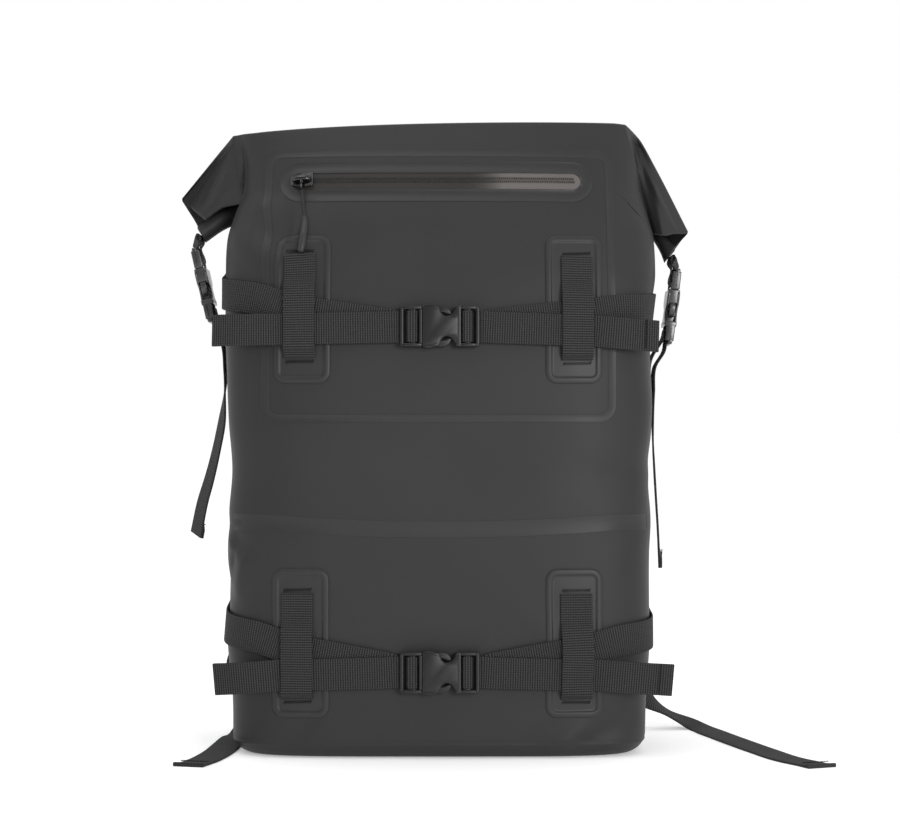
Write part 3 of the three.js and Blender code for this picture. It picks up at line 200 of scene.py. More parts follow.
def swollen(rings: Array, held: Array, cap: float) -> Array:
    """Lets a closed skin swell as cloth under pressure, with its firm points fixed.

    A point that would move by m moves by cap times one less the exponential of -m / cap.

    Args:
        rings: the skin's points in millimetres, ring by ring.
        held: how firmly each point is held, from 0 to 1.
        cap: the furthest that a point may move, in millimetres.
    """
    skin = grid(rings, rings[..., :2], wrap_columns=True)
    mesh = bpy.data.meshes.new("swelling")
    mesh.from_pydata((skin.points * MM).tolist(), [], skin.faces.tolist())
    work = bmesh.new()
    work.from_mesh(mesh)
    bmesh.ops.recalc_face_normals(work, faces=work.faces)
    work.to_mesh(mesh)
    work.free()
    body = bpy.data.objects.new("swelling", mesh)
    scene = bpy.context.scene
    scene.collection.objects.link(body)
    group = body.vertex_groups.new(name="held")
    firm = held.ravel()
    for weight in np.unique(firm):
        group.add(np.flatnonzero(firm == weight).tolist(), float(weight), "REPLACE")
    cloth = body.modifiers.new("swelling", "CLOTH")
    cloth.settings.vertex_group_mass = "held"
    cloth.settings.use_pressure = True
    cloth.settings.uniform_pressure_force = 4
    cloth.settings.effector_weights.gravity = 0
    cloth.point_cache.frame_end = SWELL_FRAMES
    for frame in range(1, SWELL_FRAMES + 1):
        scene.frame_set(frame)
    moved = body.evaluated_get(bpy.context.evaluated_depsgraph_get()).data
    place = np.empty(3 * len(moved.vertices), np.float32)
    moved.vertices.foreach_get("co", place)
    step = place.reshape(rings.shape) / MM - rings
    reach = np.maximum(np.linalg.norm(step, axis=-1, keepdims=True), 1e-6)
    LOG.info("swelling: up to %.1f mm", reach.max())
    scene.frame_set(1)
    bpy.data.objects.remove(body)
    bpy.data.meshes.remove(mesh)
    return rings + step / reach * cap * (1 - np.exp(-reach / cap))


def make_piece(
    name: str,
    surface: Surface,
    slot: str,
    replaces: tuple[str, ...],
    sharp: float = 40,
    merge: float = 0.01,
    finish: str = "",
) -> bpy.types.Object:
    """Makes an object at the origin from a surface, dresses it and lets it ride on the bag.

    Args:
        name: the piece's name.
        surface: its shape in millimetres.
        slot: the record's material slot.
        replaces: the nodes that it stands for.
        sharp: edges that turn by more degrees than this look sharp.
        merge: points closer than this many millimetres become one.
        finish: name of its finish, where that isn't the slot's.

    Returns:
        The finished object.
    """
    mesh = bpy.data.meshes.new(name)
    mesh.from_pydata((surface.points * MM).tolist(), [], surface.faces.tolist())
    layer = mesh.uv_layers.new(name="flat")
    corner = np.empty(len(mesh.loops), np.int32)
    mesh.loops.foreach_get("vertex_index", corner)
    layer.data.foreach_set("uv", (surface.flat[corner] * MM).astype(np.float32).ravel())
    work = bmesh.new()
    work.from_mesh(mesh)
    bmesh.ops.remove_doubles(work, verts=work.verts, dist=merge * MM)
    bmesh.ops.dissolve_degenerate(work, edges=work.edges, dist=1e-7)
    bmesh.ops.recalc_face_normals(work, faces=work.faces)
    work.to_mesh(mesh)
    work.free()
    mesh.shade_smooth()
    mesh.set_sharp_from_angle(angle=math.radians(sharp))
    piece = bpy.data.objects.new(name, mesh)
    bpy.context.scene.collection.objects.link(piece)
    mesh.materials.append(MATERIALS[finish or slot])
    register(piece, replaces)
    return piece


def register(piece: bpy.types.Object, replaces: tuple[str, ...]) -> None:
    """Lets a piece ride on the bag's body and hides the nodes that it stands for.

    Args:
        piece: the piece.
        replaces: the nodes.
    """
    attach(piece, BODY)
    if replaces:
        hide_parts(*replaces)
    LOG.info("%s: %d faces", piece.name, len(piece.data.polygons))


@dataclass(frozen=True)
class Crease:
    """A soft fold of the wall: from one point to another, its width and its depth, out positive."""

    start: tuple[float, float, float]
    end: tuple[float, float, float]
    width: float
    depth: float


@dataclass(frozen=True)
class BagForm:
    """The bag's wall as a function of the turn round it and the height."""

    width: float = 340
    depth: float = 165
    ridge: float = 508
    neck: float = 450
    back_rise: float = 22
    base_radius: float = 16
    weld_height: float = 10.5
    sections: tuple = (
        (0.0, 0.489, 0.484, 0.497, 0.49, 4.6),
        (0.09, 0.49, 0.487, 0.503, 0.493, 4.8),
        (0.17, 0.501, 0.495, 0.508, 0.493, 4.8),
        (0.236, 0.496, 0.494, 0.51, 0.49, 4.8),
        (0.31, 0.501, 0.494, 0.511, 0.487, 4.8),
        (0.375, 0.499, 0.498, 0.509, 0.485, 4.8),
        (0.444, 0.491, 0.489, 0.507, 0.483, 4.8),
        (0.52, 0.499, 0.503, 0.505, 0.48, 4.8),
        (0.6, 0.504, 0.498, 0.498, 0.473, 4.7),
        (0.68, 0.508, 0.497, 0.482, 0.458, 4.4),
        (0.75, 0.509, 0.51, 0.452, 0.425, 4),
        (0.81, 0.506, 0.508, 0.408, 0.36, 3.5),
        (0.85, 0.489, 0.494, 0.363, 0.282, 3),
        (0.886, 0.47, 0.481, 0.31, 0.2, 2.7),
        (0.945, 0.47, 0.47, 0.215, 0.085, 2.6),
        (1.0, 0.494, 0.455, 0.115, 0.03, 2.6),
    )
    dents: tuple = (
        (-0.47, 0.42, 0.06, 0.05, 0.022),
        (0.44, 0.53, 0.07, 0.06, 0.02),
        (0.42, 0.43, 0.08, 0.03, 0.016),
        (0.0, 0.45, 0.2, 0.07, 0.01),
        (0.36, 0.06, 0.05, 0.04, 0.012),
    )
    creases: tuple[Crease, ...] = (
        Crease((-163, -45, 430), (-118, -70, 402), 9, -1.6),
        Crease((-166, -35, 414), (-138, -72, 385), 8, 1.2),
        Crease((-150, -60, 372), (-136, -76, 330), 11, -1.1),
        Crease((-160, -20, 436), (-128, -52, 436), 7, 1.0),
        Crease((158, -40, 434), (140, -66, 392), 10, -1.2),
        Crease((166, -30, 380), (150, -72, 352), 9, 0.9),
        Crease((-121, -51, 438), (-125, -64, 400), 6.5, -2.4),
        Crease((-107, -56, 430), (-111, -69, 396), 8, 1.3),
        Crease((-148, -38, 446), (-150, -57, 404), 4.5, 1.4),
        Crease((-138, -56, 404), (-142, -60, 372), 3.5, 1.0),
        Crease((-172, -47, 178), (-160, -69, 156), 5, 1.8),
        Crease((-160, -64, 172), (-166, -56, 146), 4, -1.1),
        Crease((84, -78, 14), (108, -78, 20), 5, 1.0),
        Crease((96, -78, 20), (122, -78, 12), 4, -0.9),
        Crease((70, -78, 110), (118, -78, 66), 12, 0.7),
        Crease((-168, -30, 184), (-146, -76, 160), 8, -2.0),
        Crease((-150, -78, 168), (-158, -60, 130), 6, 1.6),
        Crease((-170, -20, 150), (-160, -62, 120), 9, -1.0),
        Crease((166, -40, 196), (140, -80, 176), 10, -1.2),
        Crease((168, -20, 226), (150, -74, 214), 9, 0.9),
        Crease((92, -84, 6), (128, -80, 40), 7, 1.3),
        Crease((104, -84, 4), (150, -66, 30), 7, -1.5),
        Crease((58, -84, 5), (88, -84, 22), 9, -1.0),
        Crease((-120, -82, 12), (-96, -83, 40), 9, -0.9),
        Crease((-60, -84, 84), (40, -84, 74), 16, -0.7),
        Crease((-90, -84, 240), (90, -84, 226), 26, -0.8),
        Crease((-70, -70, 392), (60, -72, 398), 20, -0.6),
        Crease((-150, 70, 60), (-100, 80, 110), 12, -1.4),
        Crease((150, 70, 70), (110, 80, 120), 12, -1.4),
        Crease((-40, 80, 330), (60, 78, 300), 20, -0.9),
        Crease((-168, 10, 330), (-168, 50, 250), 12, -1.3),
        Crease((168, 20, 300), (168, -40, 260), 12, -1.3),
    )

    def along(self, share: float) -> float:
        """A share of the bag's width."""
        return share * self.width

    def deep(self, share: float) -> float:
        """A share of the bag's depth."""
        return share * self.depth

    def high(self, share: float) -> float:
        """A share of the ridge's height."""
        return share * self.ridge

    def column(self, z: Array, which: int) -> Array:
        """One column of the sections at heights z, by a cubic through the rows."""
        table = np.array(self.sections)
        return hermite(table[:, 0], table[:, which], np.asarray(z, float) / self.ridge)

    def base_step(self, z: Array, inset: float) -> Array:
        """Distance that the outline steps in where the wall rounds into the base: a quarter circle.

        Args:
            z: heights.
            inset: distance inside the outer face.

        Returns:
            the steps.
        """
        radius = self.base_radius - inset
        rise = np.clip(z - inset, 0, radius)
        return inset + radius - np.sqrt(np.maximum(radius**2 - (radius - rise) ** 2, 0))

    def wall(self, turn: Array, z: Array, inset: float = 0, soft: bool = True) -> Array:
        """Points of the wall.

        The outline at a height is a rounded box: its radius in a direction is the sum of the powers
        of the sine and cosine to minus one over the exponent, stretched to the half-widths and
        half-depths. Dents and creases push it in or out.

        Args:
            turn: angle round the bag, 0 at the middle of the front and rising to the right.
            z: height.
            inset: distance inside the outer wall.
            soft: whether creases and the base weld are added.

        Returns:
            Points, with 3 as the last axis.
        """
        turn, z = np.broadcast_arrays(np.asarray(turn, float), np.asarray(z, float))
        s, c = np.sin(turn), np.cos(turn)
        power = self.column(z, 5)
        stretch = (np.abs(s) ** power + np.abs(c) ** power) ** (-1 / power)
        step = self.base_step(z, inset)
        half_width = self.along(np.where(s < 0, self.column(z, 1), self.column(z, 2))) - step
        half_depth = self.deep(np.where(c < 0, self.column(z, 4), self.column(z, 3))) - step
        x = half_width * s * stretch
        y = -half_depth * c * stretch
        dent = np.zeros_like(x)
        for across, height, wide, tall, depth in self.dents:
            u = (x - self.along(across)) / self.along(wide)
            v = (z - self.high(height)) / self.high(tall)
            dent += self.deep(depth) * np.exp(-u * u - v * v)
        y = y + np.where(c > 0, dent * c * stretch, 0)
        points = np.stack([x, y, z], axis=-1)
        if not soft:
            return points
        outward = np.stack([s, -c, np.zeros_like(s)], axis=-1)
        weld = 0.8 * np.exp(-(((z - self.weld_height) / 1.1) ** 2))
        return points + outward * (self.relief(points) + weld)[..., None]

    def relief(self, points: Array) -> Array:
        """Outward push of the creases: each falls off as a bell curve with the distance from its line.

        Args:
            points: places on the wall.

        Returns:
            the push at each.
        """
        push = np.zeros(points.shape[:-1])
        for crease in self.creases:
            a, b = np.array(crease.start, float), np.array(crease.end, float)
            run = b - a
            t = np.clip(((points - a) @ run) / (run @ run), 0, 1)
            gap = np.linalg.norm(points - (a + t[..., None] * run), axis=-1)
            taper = 0.35 + 0.65 * np.sin(np.pi * np.clip(t, 0.05, 0.95))
            push += 1.7 * crease.depth * taper * np.exp(-((gap / crease.width) ** 2))
        return push

    def turn_at(self, x: Array, z: Array) -> Array:
        """Turn round the front at which the wall has the given x.

        Args:
            x: places across.
            z: heights.

        Returns:
            the turns.
        """
        x, z = np.broadcast_arrays(np.asarray(x, float), np.asarray(z, float))
        power = self.column(z, 5)
        half = self.along(np.where(x < 0, self.column(z, 1), self.column(z, 2)))
        u = np.minimum(np.abs(x) / half, 0.999)
        return np.sign(x) * np.arctan2(u, (1 - u**power) ** (1 / power))

    def back_turn(self, x: Array, z: Array) -> Array:
        """Turn round the back at which the wall has the given x."""
        return np.where(np.asarray(x) < 0, -np.pi, np.pi) - self.turn_at(x, z)

    def frame_at(self, turn: Array, z: Array) -> tuple[Array, Array, Array]:
        """Directions at a place on the wall: level round it, up it, and out of it.

        Args:
            turn: turns round the bag.
            z: heights.

        Returns:
            the three directions.
        """
        step = 0.01
        level = self.wall(turn + step, z) - self.wall(turn - step, z)
        up = unit(self.wall(turn, z + 1.5) - self.wall(turn, z - 1.5))
        out = unit(np.cross(level, up))
        return unit(np.cross(up, out)), up, out

    def off(self, turn: Array, z: Array, stand: Array) -> Array:
        """Points that stand off the wall."""
        turn, z = np.broadcast_arrays(np.asarray(turn, float), np.asarray(z, float))
        return self.wall(turn, z) + self.frame_at(turn, z)[2] * np.asarray(stand)[..., None]

    def off_front(self, x: Array, z: Array, stand: Array) -> Array:
        """Points that stand off the front at x and z."""
        return self.off(self.turn_at(x, z), z, stand)


def hermite(knots: Array, values: Array, at: Array) -> Array:
    """Cubic through table rows whose slopes come from the rows on both sides.

    Args:
        knots: places of the rows.
        values: their values.
        at: places wanted.

    Returns:
        the values there.
    """
    last = len(knots) - 1
    i = np.clip(np.searchsorted(knots[1:-1], at, side="left"), 0, last - 1)
    before, after = np.maximum(i - 1, 0), np.minimum(i + 2, last)
    span = knots[i + 1] - knots[i]
    t = np.clip((at - knots[i]) / span, 0, 1)
    low_slope = (values[i + 1] - values[before]) / (knots[i + 1] - knots[before]) * span
    top_slope = (values[after] - values[i]) / (knots[after] - knots[i]) * span
    rise = values[i + 1] - values[i]
    ease = low_slope * (t**3 - 2 * t**2 + t) + top_slope * (t**3 - t**2)
    return values[i] + ease + rise * (3 * t**2 - 2 * t**3)


FORM = BagForm()
GAP = 0.3
WEB = 1.6
WEB_WIDTH = 25.0


@dataclass
class Wiring:
    """Short way to place and join nodes in one tree."""

    tree: bpy.types.NodeTree

    def add(self, kind: str, inputs: dict | None = None, **settings: object) -> bpy.types.Node:
        """Places a node.

        Args:
            kind: Blender's name of the node.
            inputs: values or output sockets for its inputs, by name or number.
            settings: its own properties.

        Returns:
            The new node.
        """
        node = self.tree.nodes.new(kind)
        for key, value in settings.items():
            setattr(node, key, value)
        for key, value in (inputs or {}).items():
            if isinstance(value, bpy.types.NodeSocket):
                self.tree.links.new(value, node.inputs[key])
            else:
                node.inputs[key].default_value = value
        return node

    def math(self, operation: str, *values: object) -> bpy.types.NodeSocket:
        """Result of a sum on numbers or sockets."""
        return self.add("ShaderNodeMath", dict(enumerate(values)), operation=operation).outputs[0]

    def wave(self, value: bpy.types.NodeSocket, length: object, shift: object = 0.0) -> bpy.types.NodeSocket:
        """Half a cosine wave from 0 to 1 that repeats over a length."""
        turns = self.math("MULTIPLY", self.math("ADD", self.math("DIVIDE", value, length), shift), TAU)
        return self.math("MULTIPLY_ADD", self.math("COSINE", turns), 0.5, 0.5)

    def blend(self, share: object, one: object, other: object) -> bpy.types.NodeSocket:
        """Colour between two colours."""
        node = self.add("ShaderNodeMix", {0: share, 6: one, 7: other}, data_type="RGBA")
        return node.outputs[2]


def new_group(name: str, inputs: dict[str, str], outputs: tuple[str, ...]) -> Wiring:
    """Starts a shader node group.

    Args:
        name: the group's name.
        inputs: socket names with Float or Vector.
        outputs: names of its number outputs.

    Returns:
        The wiring of its tree.
    """
    tree = bpy.data.node_groups.new(name, "ShaderNodeTree")
    for socket, kind in inputs.items():
        tree.interface.new_socket(name=socket, in_out="INPUT", socket_type="NodeSocket" + kind)
    for socket in outputs:
        tree.interface.new_socket(name=socket, in_out="OUTPUT", socket_type="NodeSocketFloat")
    return Wiring(tree)


def woven_ribs_group() -> bpy.types.NodeTree:
    """Webbing: ribs across the strap, a little lower between its warp columns. Its Shade output is painted
    shade: dark in the furrows between ribs and columns and light on the crests, since the bump is too fine
    to show it.

    Returns:
        the group's node tree.
    """
    inputs = {"Flat": "Vector", "Rib": "Float", "Column": "Float"}
    wires = new_group("woven_ribs", inputs, ("Height", "Shade"))
    ends = wires.add("NodeGroupInput")
    axes = wires.add("ShaderNodeSeparateXYZ", {0: ends.outputs["Flat"]})
    ribs = wires.wave(axes.outputs[1], ends.outputs["Rib"])
    columns = wires.wave(axes.outputs[0], ends.outputs["Column"])
    height = wires.math("MULTIPLY", ribs, wires.math("MULTIPLY_ADD", columns, 0.55, 0.45))
    noise = wires.add("ShaderNodeTexNoise", {"Vector": ends.outputs["Flat"], "Scale": 900.0, "Detail": 2.0})
    fuzz = wires.math("MULTIPLY_ADD", noise.outputs[0], 0.3, height)
    out = wires.add("NodeGroupOutput")
    wires.tree.links.new(fuzz, out.inputs["Height"])
    wires.tree.links.new(wires.math("POWER", height, 0.7), out.inputs["Shade"])
    return wires.tree


def cloth_weave_group() -> bpy.types.NodeTree:
    """Plain weave that shows faintly through a coating, from Object coordinates on the three axes.

    Returns:
        the group's node tree.
    """
    wires = new_group("cloth_weave", {"Pitch": "Float"}, ("Height",))
    ends = wires.add("NodeGroupInput")
    place = wires.add("ShaderNodeTexCoord").outputs["Object"]
    axes = wires.add("ShaderNodeSeparateXYZ", {0: place})
    pitch = ends.outputs["Pitch"]
    level = wires.math("ADD", axes.outputs[0], axes.outputs[1])
    threads = wires.math("MULTIPLY", wires.wave(level, pitch), wires.wave(axes.outputs[2], pitch))
    out = wires.add("NodeGroupOutput")
    wires.tree.links.new(threads, out.inputs["Height"])
    return wires.tree


def surface_wear_group() -> bpy.types.NodeTree:
    """Uneven patches, fine scratches and specks, from Object coordinates.

    Returns:
        the group's node tree.
    """
    outputs = ("Patches", "Scratches", "Grain")
    wires = new_group("surface_wear", {"Patch Size": "Float", "Grain Size": "Float"}, outputs)
    ends = wires.add("NodeGroupInput")
    place = wires.add("ShaderNodeTexCoord").outputs["Object"]
    patch_scale = wires.math("DIVIDE", 1.0, ends.outputs["Patch Size"])
    grain_scale = wires.math("DIVIDE", 1.0, ends.outputs["Grain Size"])
    patches = wires.add("ShaderNodeTexNoise", {"Vector": place, "Scale": patch_scale, "Detail": 3.0})
    grain = wires.add("ShaderNodeTexNoise", {"Vector": place, "Scale": grain_scale, "Detail": 1.0})
    turned = {"Vector": place, "Scale": (14.0, 14.0, 260.0), "Rotation": (0.3, 0.5, 0.2)}
    lines = wires.add("ShaderNodeMapping", turned)
    scratch = wires.add("ShaderNodeTexNoise", {"Vector": lines.outputs[0], "Scale": 3.0, "Detail": 4.0})
    thin = wires.add("ShaderNodeMapRange", {"Value": scratch.outputs[0], "From Min": 0.66, "From Max": 0.74})
    out = wires.add("NodeGroupOutput")
    wires.tree.links.new(patches.outputs[0], out.inputs["Patches"])
    wires.tree.links.new(thin.outputs[0], out.inputs["Scratches"])
    wires.tree.links.new(grain.outputs[0], out.inputs["Grain"])
    return wires.tree


class Pattern(Enum):
    """Shared patterns that a finish places, by the name of their group."""

    RIBS = "woven_ribs"
    WEAVE = "cloth_weave"
    WEAR = "surface_wear"


def build_patterns() -> None:
    """Makes each shared pattern once."""
    woven_ribs_group()
    cloth_weave_group()
    surface_wear_group()


@dataclass(frozen=True)
class Finish:
    """What every finish has: a name, a dark and a light tone, a gloss and the depth of its relief."""

    name: str
    dark: tuple[float, float, float]
    light: tuple[float, float, float]
    rough: float
    specular: float = 0.4
    relief: float = 0.0001
    sheen: float = 0.0

    def start(self) -> tuple[Material, Wiring, bpy.types.Node]:
        """Makes a new material.

        Returns:
            the material, its wiring and its shader.
        """
        material = bpy.data.materials.new(self.name)
        material.use_nodes = True
        wires = Wiring(material.node_tree)
        shader = next(n for n in material.node_tree.nodes if n.type == "BSDF_PRINCIPLED")
        shader.inputs["Specular IOR Level"].default_value = self.specular
        shader.inputs["Sheen Weight"].default_value = self.sheen
        shader.inputs["Sheen Roughness"].default_value = 0.5
        return material, wires, shader

    def place(self, wires: Wiring, pattern: Pattern, inputs: dict) -> bpy.types.Node:
        """Places a shared pattern in a material.

        Args:
            wires: the material's wiring.
            pattern: the pattern.
            inputs: its values or what drives them.

        Returns:
            the node.
        """
        node = wires.add("ShaderNodeGroup", node_tree=bpy.data.node_groups[pattern.value])
        for key, value in inputs.items():
            if isinstance(value, bpy.types.NodeSocket):
                wires.tree.links.new(value, node.inputs[key])
            else:
                node.inputs[key].default_value = value
        return node

    def finish_off(
        self, wires: Wiring, shader: bpy.types.Node, share: object, height: object, rough: object
    ) -> None:
        """Joins tone, relief and gloss to the shader.

        Args:
            wires: the material's wiring.
            shader: its shader.
            share: where the tone lies between dark and light.
            height: relief from 0 to 1.
            rough: roughness.
        """
        tone = wires.blend(share, (*self.dark, 1.0), (*self.light, 1.0))
        wires.tree.links.new(tone, shader.inputs["Base Color"])
        bump = wires.add("ShaderNodeBump", {"Height": height, "Distance": self.relief, "Strength": 1.0})
        wires.tree.links.new(bump.outputs[0], shader.inputs["Normal"])
        wires.tree.links.new(rough, shader.inputs["Roughness"])


@dataclass(frozen=True)
class CoatedCloth(Finish):
    """Fabric under a smooth coating: a faint weave, soft patches and a few scratches."""

    weave_pitch: float = 0.00065
    grain: float = 0.0012
    # Object x range, in metres, over which the tone rises to the light tone: a painted sheen.
    glow: tuple[float, float] | None = None

    def build(self) -> Material:
        """Makes the material.

        Returns:
            the material.
        """
        material, wires, shader = self.start()
        wear = self.place(wires, Pattern.WEAR, {"Patch Size": 0.06, "Grain Size": self.grain})
        weave = self.place(wires, Pattern.WEAVE, {"Pitch": self.weave_pitch})
        patches = wires.math("MULTIPLY", wear.outputs["Patches"], 0.75)
        share = wires.math("MULTIPLY_ADD", wear.outputs["Grain"], 0.25, patches)
        # Painted sheen: the tone grows lighter towards +x, standing in for light on the glossy tape.
        if self.glow:
            place = wires.add("ShaderNodeTexCoord").outputs["Object"]
            across = wires.add("ShaderNodeSeparateXYZ", {0: place})
            ends = {"Value": across.outputs[0], "From Min": self.glow[0], "From Max": self.glow[1]}
            rise = wires.math("POWER", wires.add("ShaderNodeMapRange", ends).outputs[0], 2.2)
            share = wires.math("MULTIPLY_ADD", rise, 0.85, wires.math("MULTIPLY", share, 0.25))
        grain = wires.math("MULTIPLY", wear.outputs["Grain"], 0.65)
        height = wires.math("MULTIPLY_ADD", weave.outputs[0], 0.35, grain)
        uneven = wires.math("MULTIPLY_ADD", wear.outputs["Patches"], 0.16, self.rough - 0.08)
        rough = wires.math("MULTIPLY_ADD", wear.outputs["Scratches"], -0.06, uneven)
        self.finish_off(wires, shader, share, height, rough)
        return material


@dataclass(frozen=True)
class WovenStrap(Finish):
    """Woven webbing or braid: ribs and columns along the piece's own flat map."""

    rib: float = 0.0019
    column: float = 0.0019

    def build(self) -> Material:
        """Makes the material.

        Returns:
            the material.
        """
        material, wires, shader = self.start()
        flat = wires.add("ShaderNodeUVMap", uv_map="flat").outputs[0]
        ribs = self.place(wires, Pattern.RIBS, {"Flat": flat, "Rib": self.rib, "Column": self.column})
        wear = self.place(wires, Pattern.WEAR, {"Patch Size": 0.03, "Grain Size": 0.0008})
        # Painted shade of the ribs: the tone follows their relief, dark in the furrows and light on the
        # crests.
        painted_rib_shade = wires.math("MULTIPLY", ribs.outputs["Shade"], 0.85)
        share = wires.math("MULTIPLY_ADD", wear.outputs["Grain"], 0.15, painted_rib_shade)
        rough = wires.math("MULTIPLY_ADD", wear.outputs["Patches"], 0.12, self.rough - 0.06)
        self.finish_off(wires, shader, share, ribs.outputs["Height"], rough)
        return material


@dataclass(frozen=True)
class MouldedPlastic(Finish):
    """Moulded plastic: a fine grain, handling marks and a satin gloss."""

    grain: float = 0.0007

    def build(self) -> Material:
        """Makes the material.

        Returns:
            the material.
        """
        material, wires, shader = self.start()
        wear = self.place(wires, Pattern.WEAR, {"Patch Size": 0.012, "Grain Size": self.grain})
        patches = wires.math("MULTIPLY", wear.outputs["Patches"], 0.4)
        share = wires.math("MULTIPLY_ADD", wear.outputs["Scratches"], 0.6, patches)
        rough = wires.math("MULTIPLY_ADD", wear.outputs["Patches"], 0.14, self.rough - 0.07)
        self.finish_off(wires, shader, share, wear.outputs["Grain"], rough)
        return material


# Light tones of the zip's tape and of the front buckles; the zip tape comes near its light tone only through
# its painted sheen.
ZIP_LIGHT = (0.125, 0.114, 0.107)
BUCKLE_LIGHT = (0.013, 0.0128, 0.013)
# Painted sheen on the zip tape: its tone rises to the light tone from one x to another, in metres.
ZIP_PAINTED_SHEEN = (0.02, 0.05)
# Rib and column pitch of the braided cord, in metres.
BRAID = (0.0011, 0.0012)
FINISHES = (
    CoatedCloth("coated_fabric", (0.022, 0.022, 0.0225), (0.031, 0.0307, 0.0312), 0.52, 0.2, 0.00006),
    CoatedCloth("welded_tape", (0.022, 0.022, 0.0225), (0.0315, 0.0312, 0.0317), 0.44, 0.25, 0.00004),
    CoatedCloth("zip_tape", (0.022, 0.021, 0.0205), ZIP_LIGHT, 0.6, 0.12, 0.00012, glow=ZIP_PAINTED_SHEEN),
    WovenStrap("webbing", (0.003, 0.003, 0.0031), (0.062, 0.061, 0.0625), 0.75, 0.12, 0.0005, 0.02),
    WovenStrap("zip_cord", (0.008, 0.008, 0.0085), (0.05, 0.05, 0.051), 0.7, 0.2, 0.0003, 0.02, *BRAID),
    CoatedCloth("padding", (0.016, 0.016, 0.017), (0.026, 0.026, 0.027), 0.8, 0.2, 0.0003, 0.1, 0.0016),
    MouldedPlastic("grip_rubber", (0.022, 0.022, 0.023), (0.034, 0.034, 0.035), 0.45, 0.35, 0.00006),
    # Side buckles: the same plastic as the front buckles, with lighter tones as a painted glint.
    MouldedPlastic("side_plastic_painted_glint", (0.03, 0.03, 0.031), (0.06, 0.0595, 0.061), 0.26, 0.6, 0.00002),
    MouldedPlastic("slider_metal", (0.004, 0.004, 0.004), (0.008, 0.008, 0.008), 0.16, 0.6, 0.00002),
    MouldedPlastic("buckle_plastic", (0.009, 0.0088, 0.009), BUCKLE_LIGHT, 0.36, 0.36, 0.00002),
)


def build_finishes() -> None:
    """Makes every finish as a material."""
    build_patterns()
    for finish in FINISHES:
        MATERIALS[finish.name] = finish.build()


@dataclass
class Studio:
    """Pale floor, soft white surroundings, lights and the camera of the picture."""

    camera_place: tuple[float, float, float] = (0.008, -1.982, 0.265)
    lens: float = 97.28
    sensor: float = 36.0
    floor_size: float = 40.0
    floor_tone: float = 0.9
    floor_glow: float = 0.3
    front_glow: float = 0.3

    def build(self) -> None:
        """Makes the camera, the floor, the surroundings and the lights."""
        scene = bpy.context.scene
        scene.view_settings.view_transform = "Standard"
        self.add_camera(scene)
        self.add_floor()
        self.add_world(scene)
        for light in LIGHTS:
            light.build()

    def add_camera(self, scene: bpy.types.Scene) -> None:
        """Level camera that looks along +Y.

        Args:
            scene: the scene.
        """
        data = bpy.data.cameras.new("camera")
        data.lens, data.sensor_width, data.sensor_fit = self.lens, self.sensor, "HORIZONTAL"
        camera = bpy.data.objects.new("camera", data)
        camera.matrix_world = Matrix.Translation(self.camera_place) @ Matrix.Rotation(math.pi / 2, 4, "X")
        scene.collection.objects.link(camera)
        scene.camera = camera

    def add_floor(self) -> None:
        """Flat pale floor with its top at the height of the floor."""
        half = self.floor_size
        mesh = bpy.data.meshes.new("studio_floor")
        corners = [(-half, -half, 0), (half, -half, 0), (half, half, 0), (-half, half, 0)]
        mesh.from_pydata(corners, [], [(0, 1, 2, 3)])
        floor = bpy.data.objects.new("studio_floor", mesh)
        bpy.context.scene.collection.objects.link(floor)
        material = bpy.data.materials.new("studio_floor")
        material.use_nodes = True
        shader = next(n for n in material.node_tree.nodes if n.type == "BSDF_PRINCIPLED")
        shader.inputs["Base Color"].default_value = (self.floor_tone,) * 3 + (1.0,)
        shader.inputs["Roughness"].default_value = 0.9
        shader.inputs["Specular IOR Level"].default_value = 0.1
        shader.inputs["Emission Color"].default_value = (1.0, 1.0, 1.0, 1.0)
        shader.inputs["Emission Strength"].default_value = self.floor_glow
        mesh.materials.append(material)

    def add_world(self, scene: bpy.types.Scene) -> None:
        """White surroundings behind and beside the bag that grow darker towards the camera.

        Args:
            scene: the scene.
        """
        world = bpy.data.worlds.new("surroundings")
        world.use_nodes = True
        wires = Wiring(world.node_tree)
        tone = world.node_tree.nodes["Background"]
        tone.inputs["Color"].default_value = (1.0, 1.0, 1.0, 1.0)
        way = wires.add("ShaderNodeSeparateXYZ", {0: wires.add("ShaderNodeTexCoord").outputs["Generated"]})
        ends = {"Value": way.outputs[1], "From Min": -0.85, "From Max": -0.1, "To Min": self.front_glow}
        glow = wires.add("ShaderNodeMapRange", {**ends, "To Max": 1.0})
        wires.tree.links.new(glow.outputs[0], tone.inputs["Strength"])
        scene.world = world


@dataclass(frozen=True)
class SoftLight:
    """One area light."""

    name: str
    place: tuple[float, float, float]
    aim: tuple[float, float, float]
    size: tuple[float, float]
    power: float

    def build(self) -> None:
        """Makes the light and turns it to its aim."""
        data = bpy.data.lights.new(self.name, "AREA")
        data.shape = "RECTANGLE"
        data.size, data.size_y = self.size
        data.energy = self.power
        light = bpy.data.objects.new(self.name, data)
        look = Vector(self.aim) - Vector(self.place)
        turn = look.to_track_quat("-Z", "Y").to_matrix().to_4x4()
        light.matrix_world = Matrix.Translation(self.place) @ turn
        bpy.context.scene.collection.objects.link(light)


LIGHTS = (
    SoftLight("front_right", (1.35, -3.1, 0.8), (0.0, 0.0, 0.2), (1.0, 1.0), 57.0),
    SoftLight("overhead", (-0.5, -0.7, 2.4), (0.0, 0.2, 0.0), (1.2, 1.0), 9.0),
)


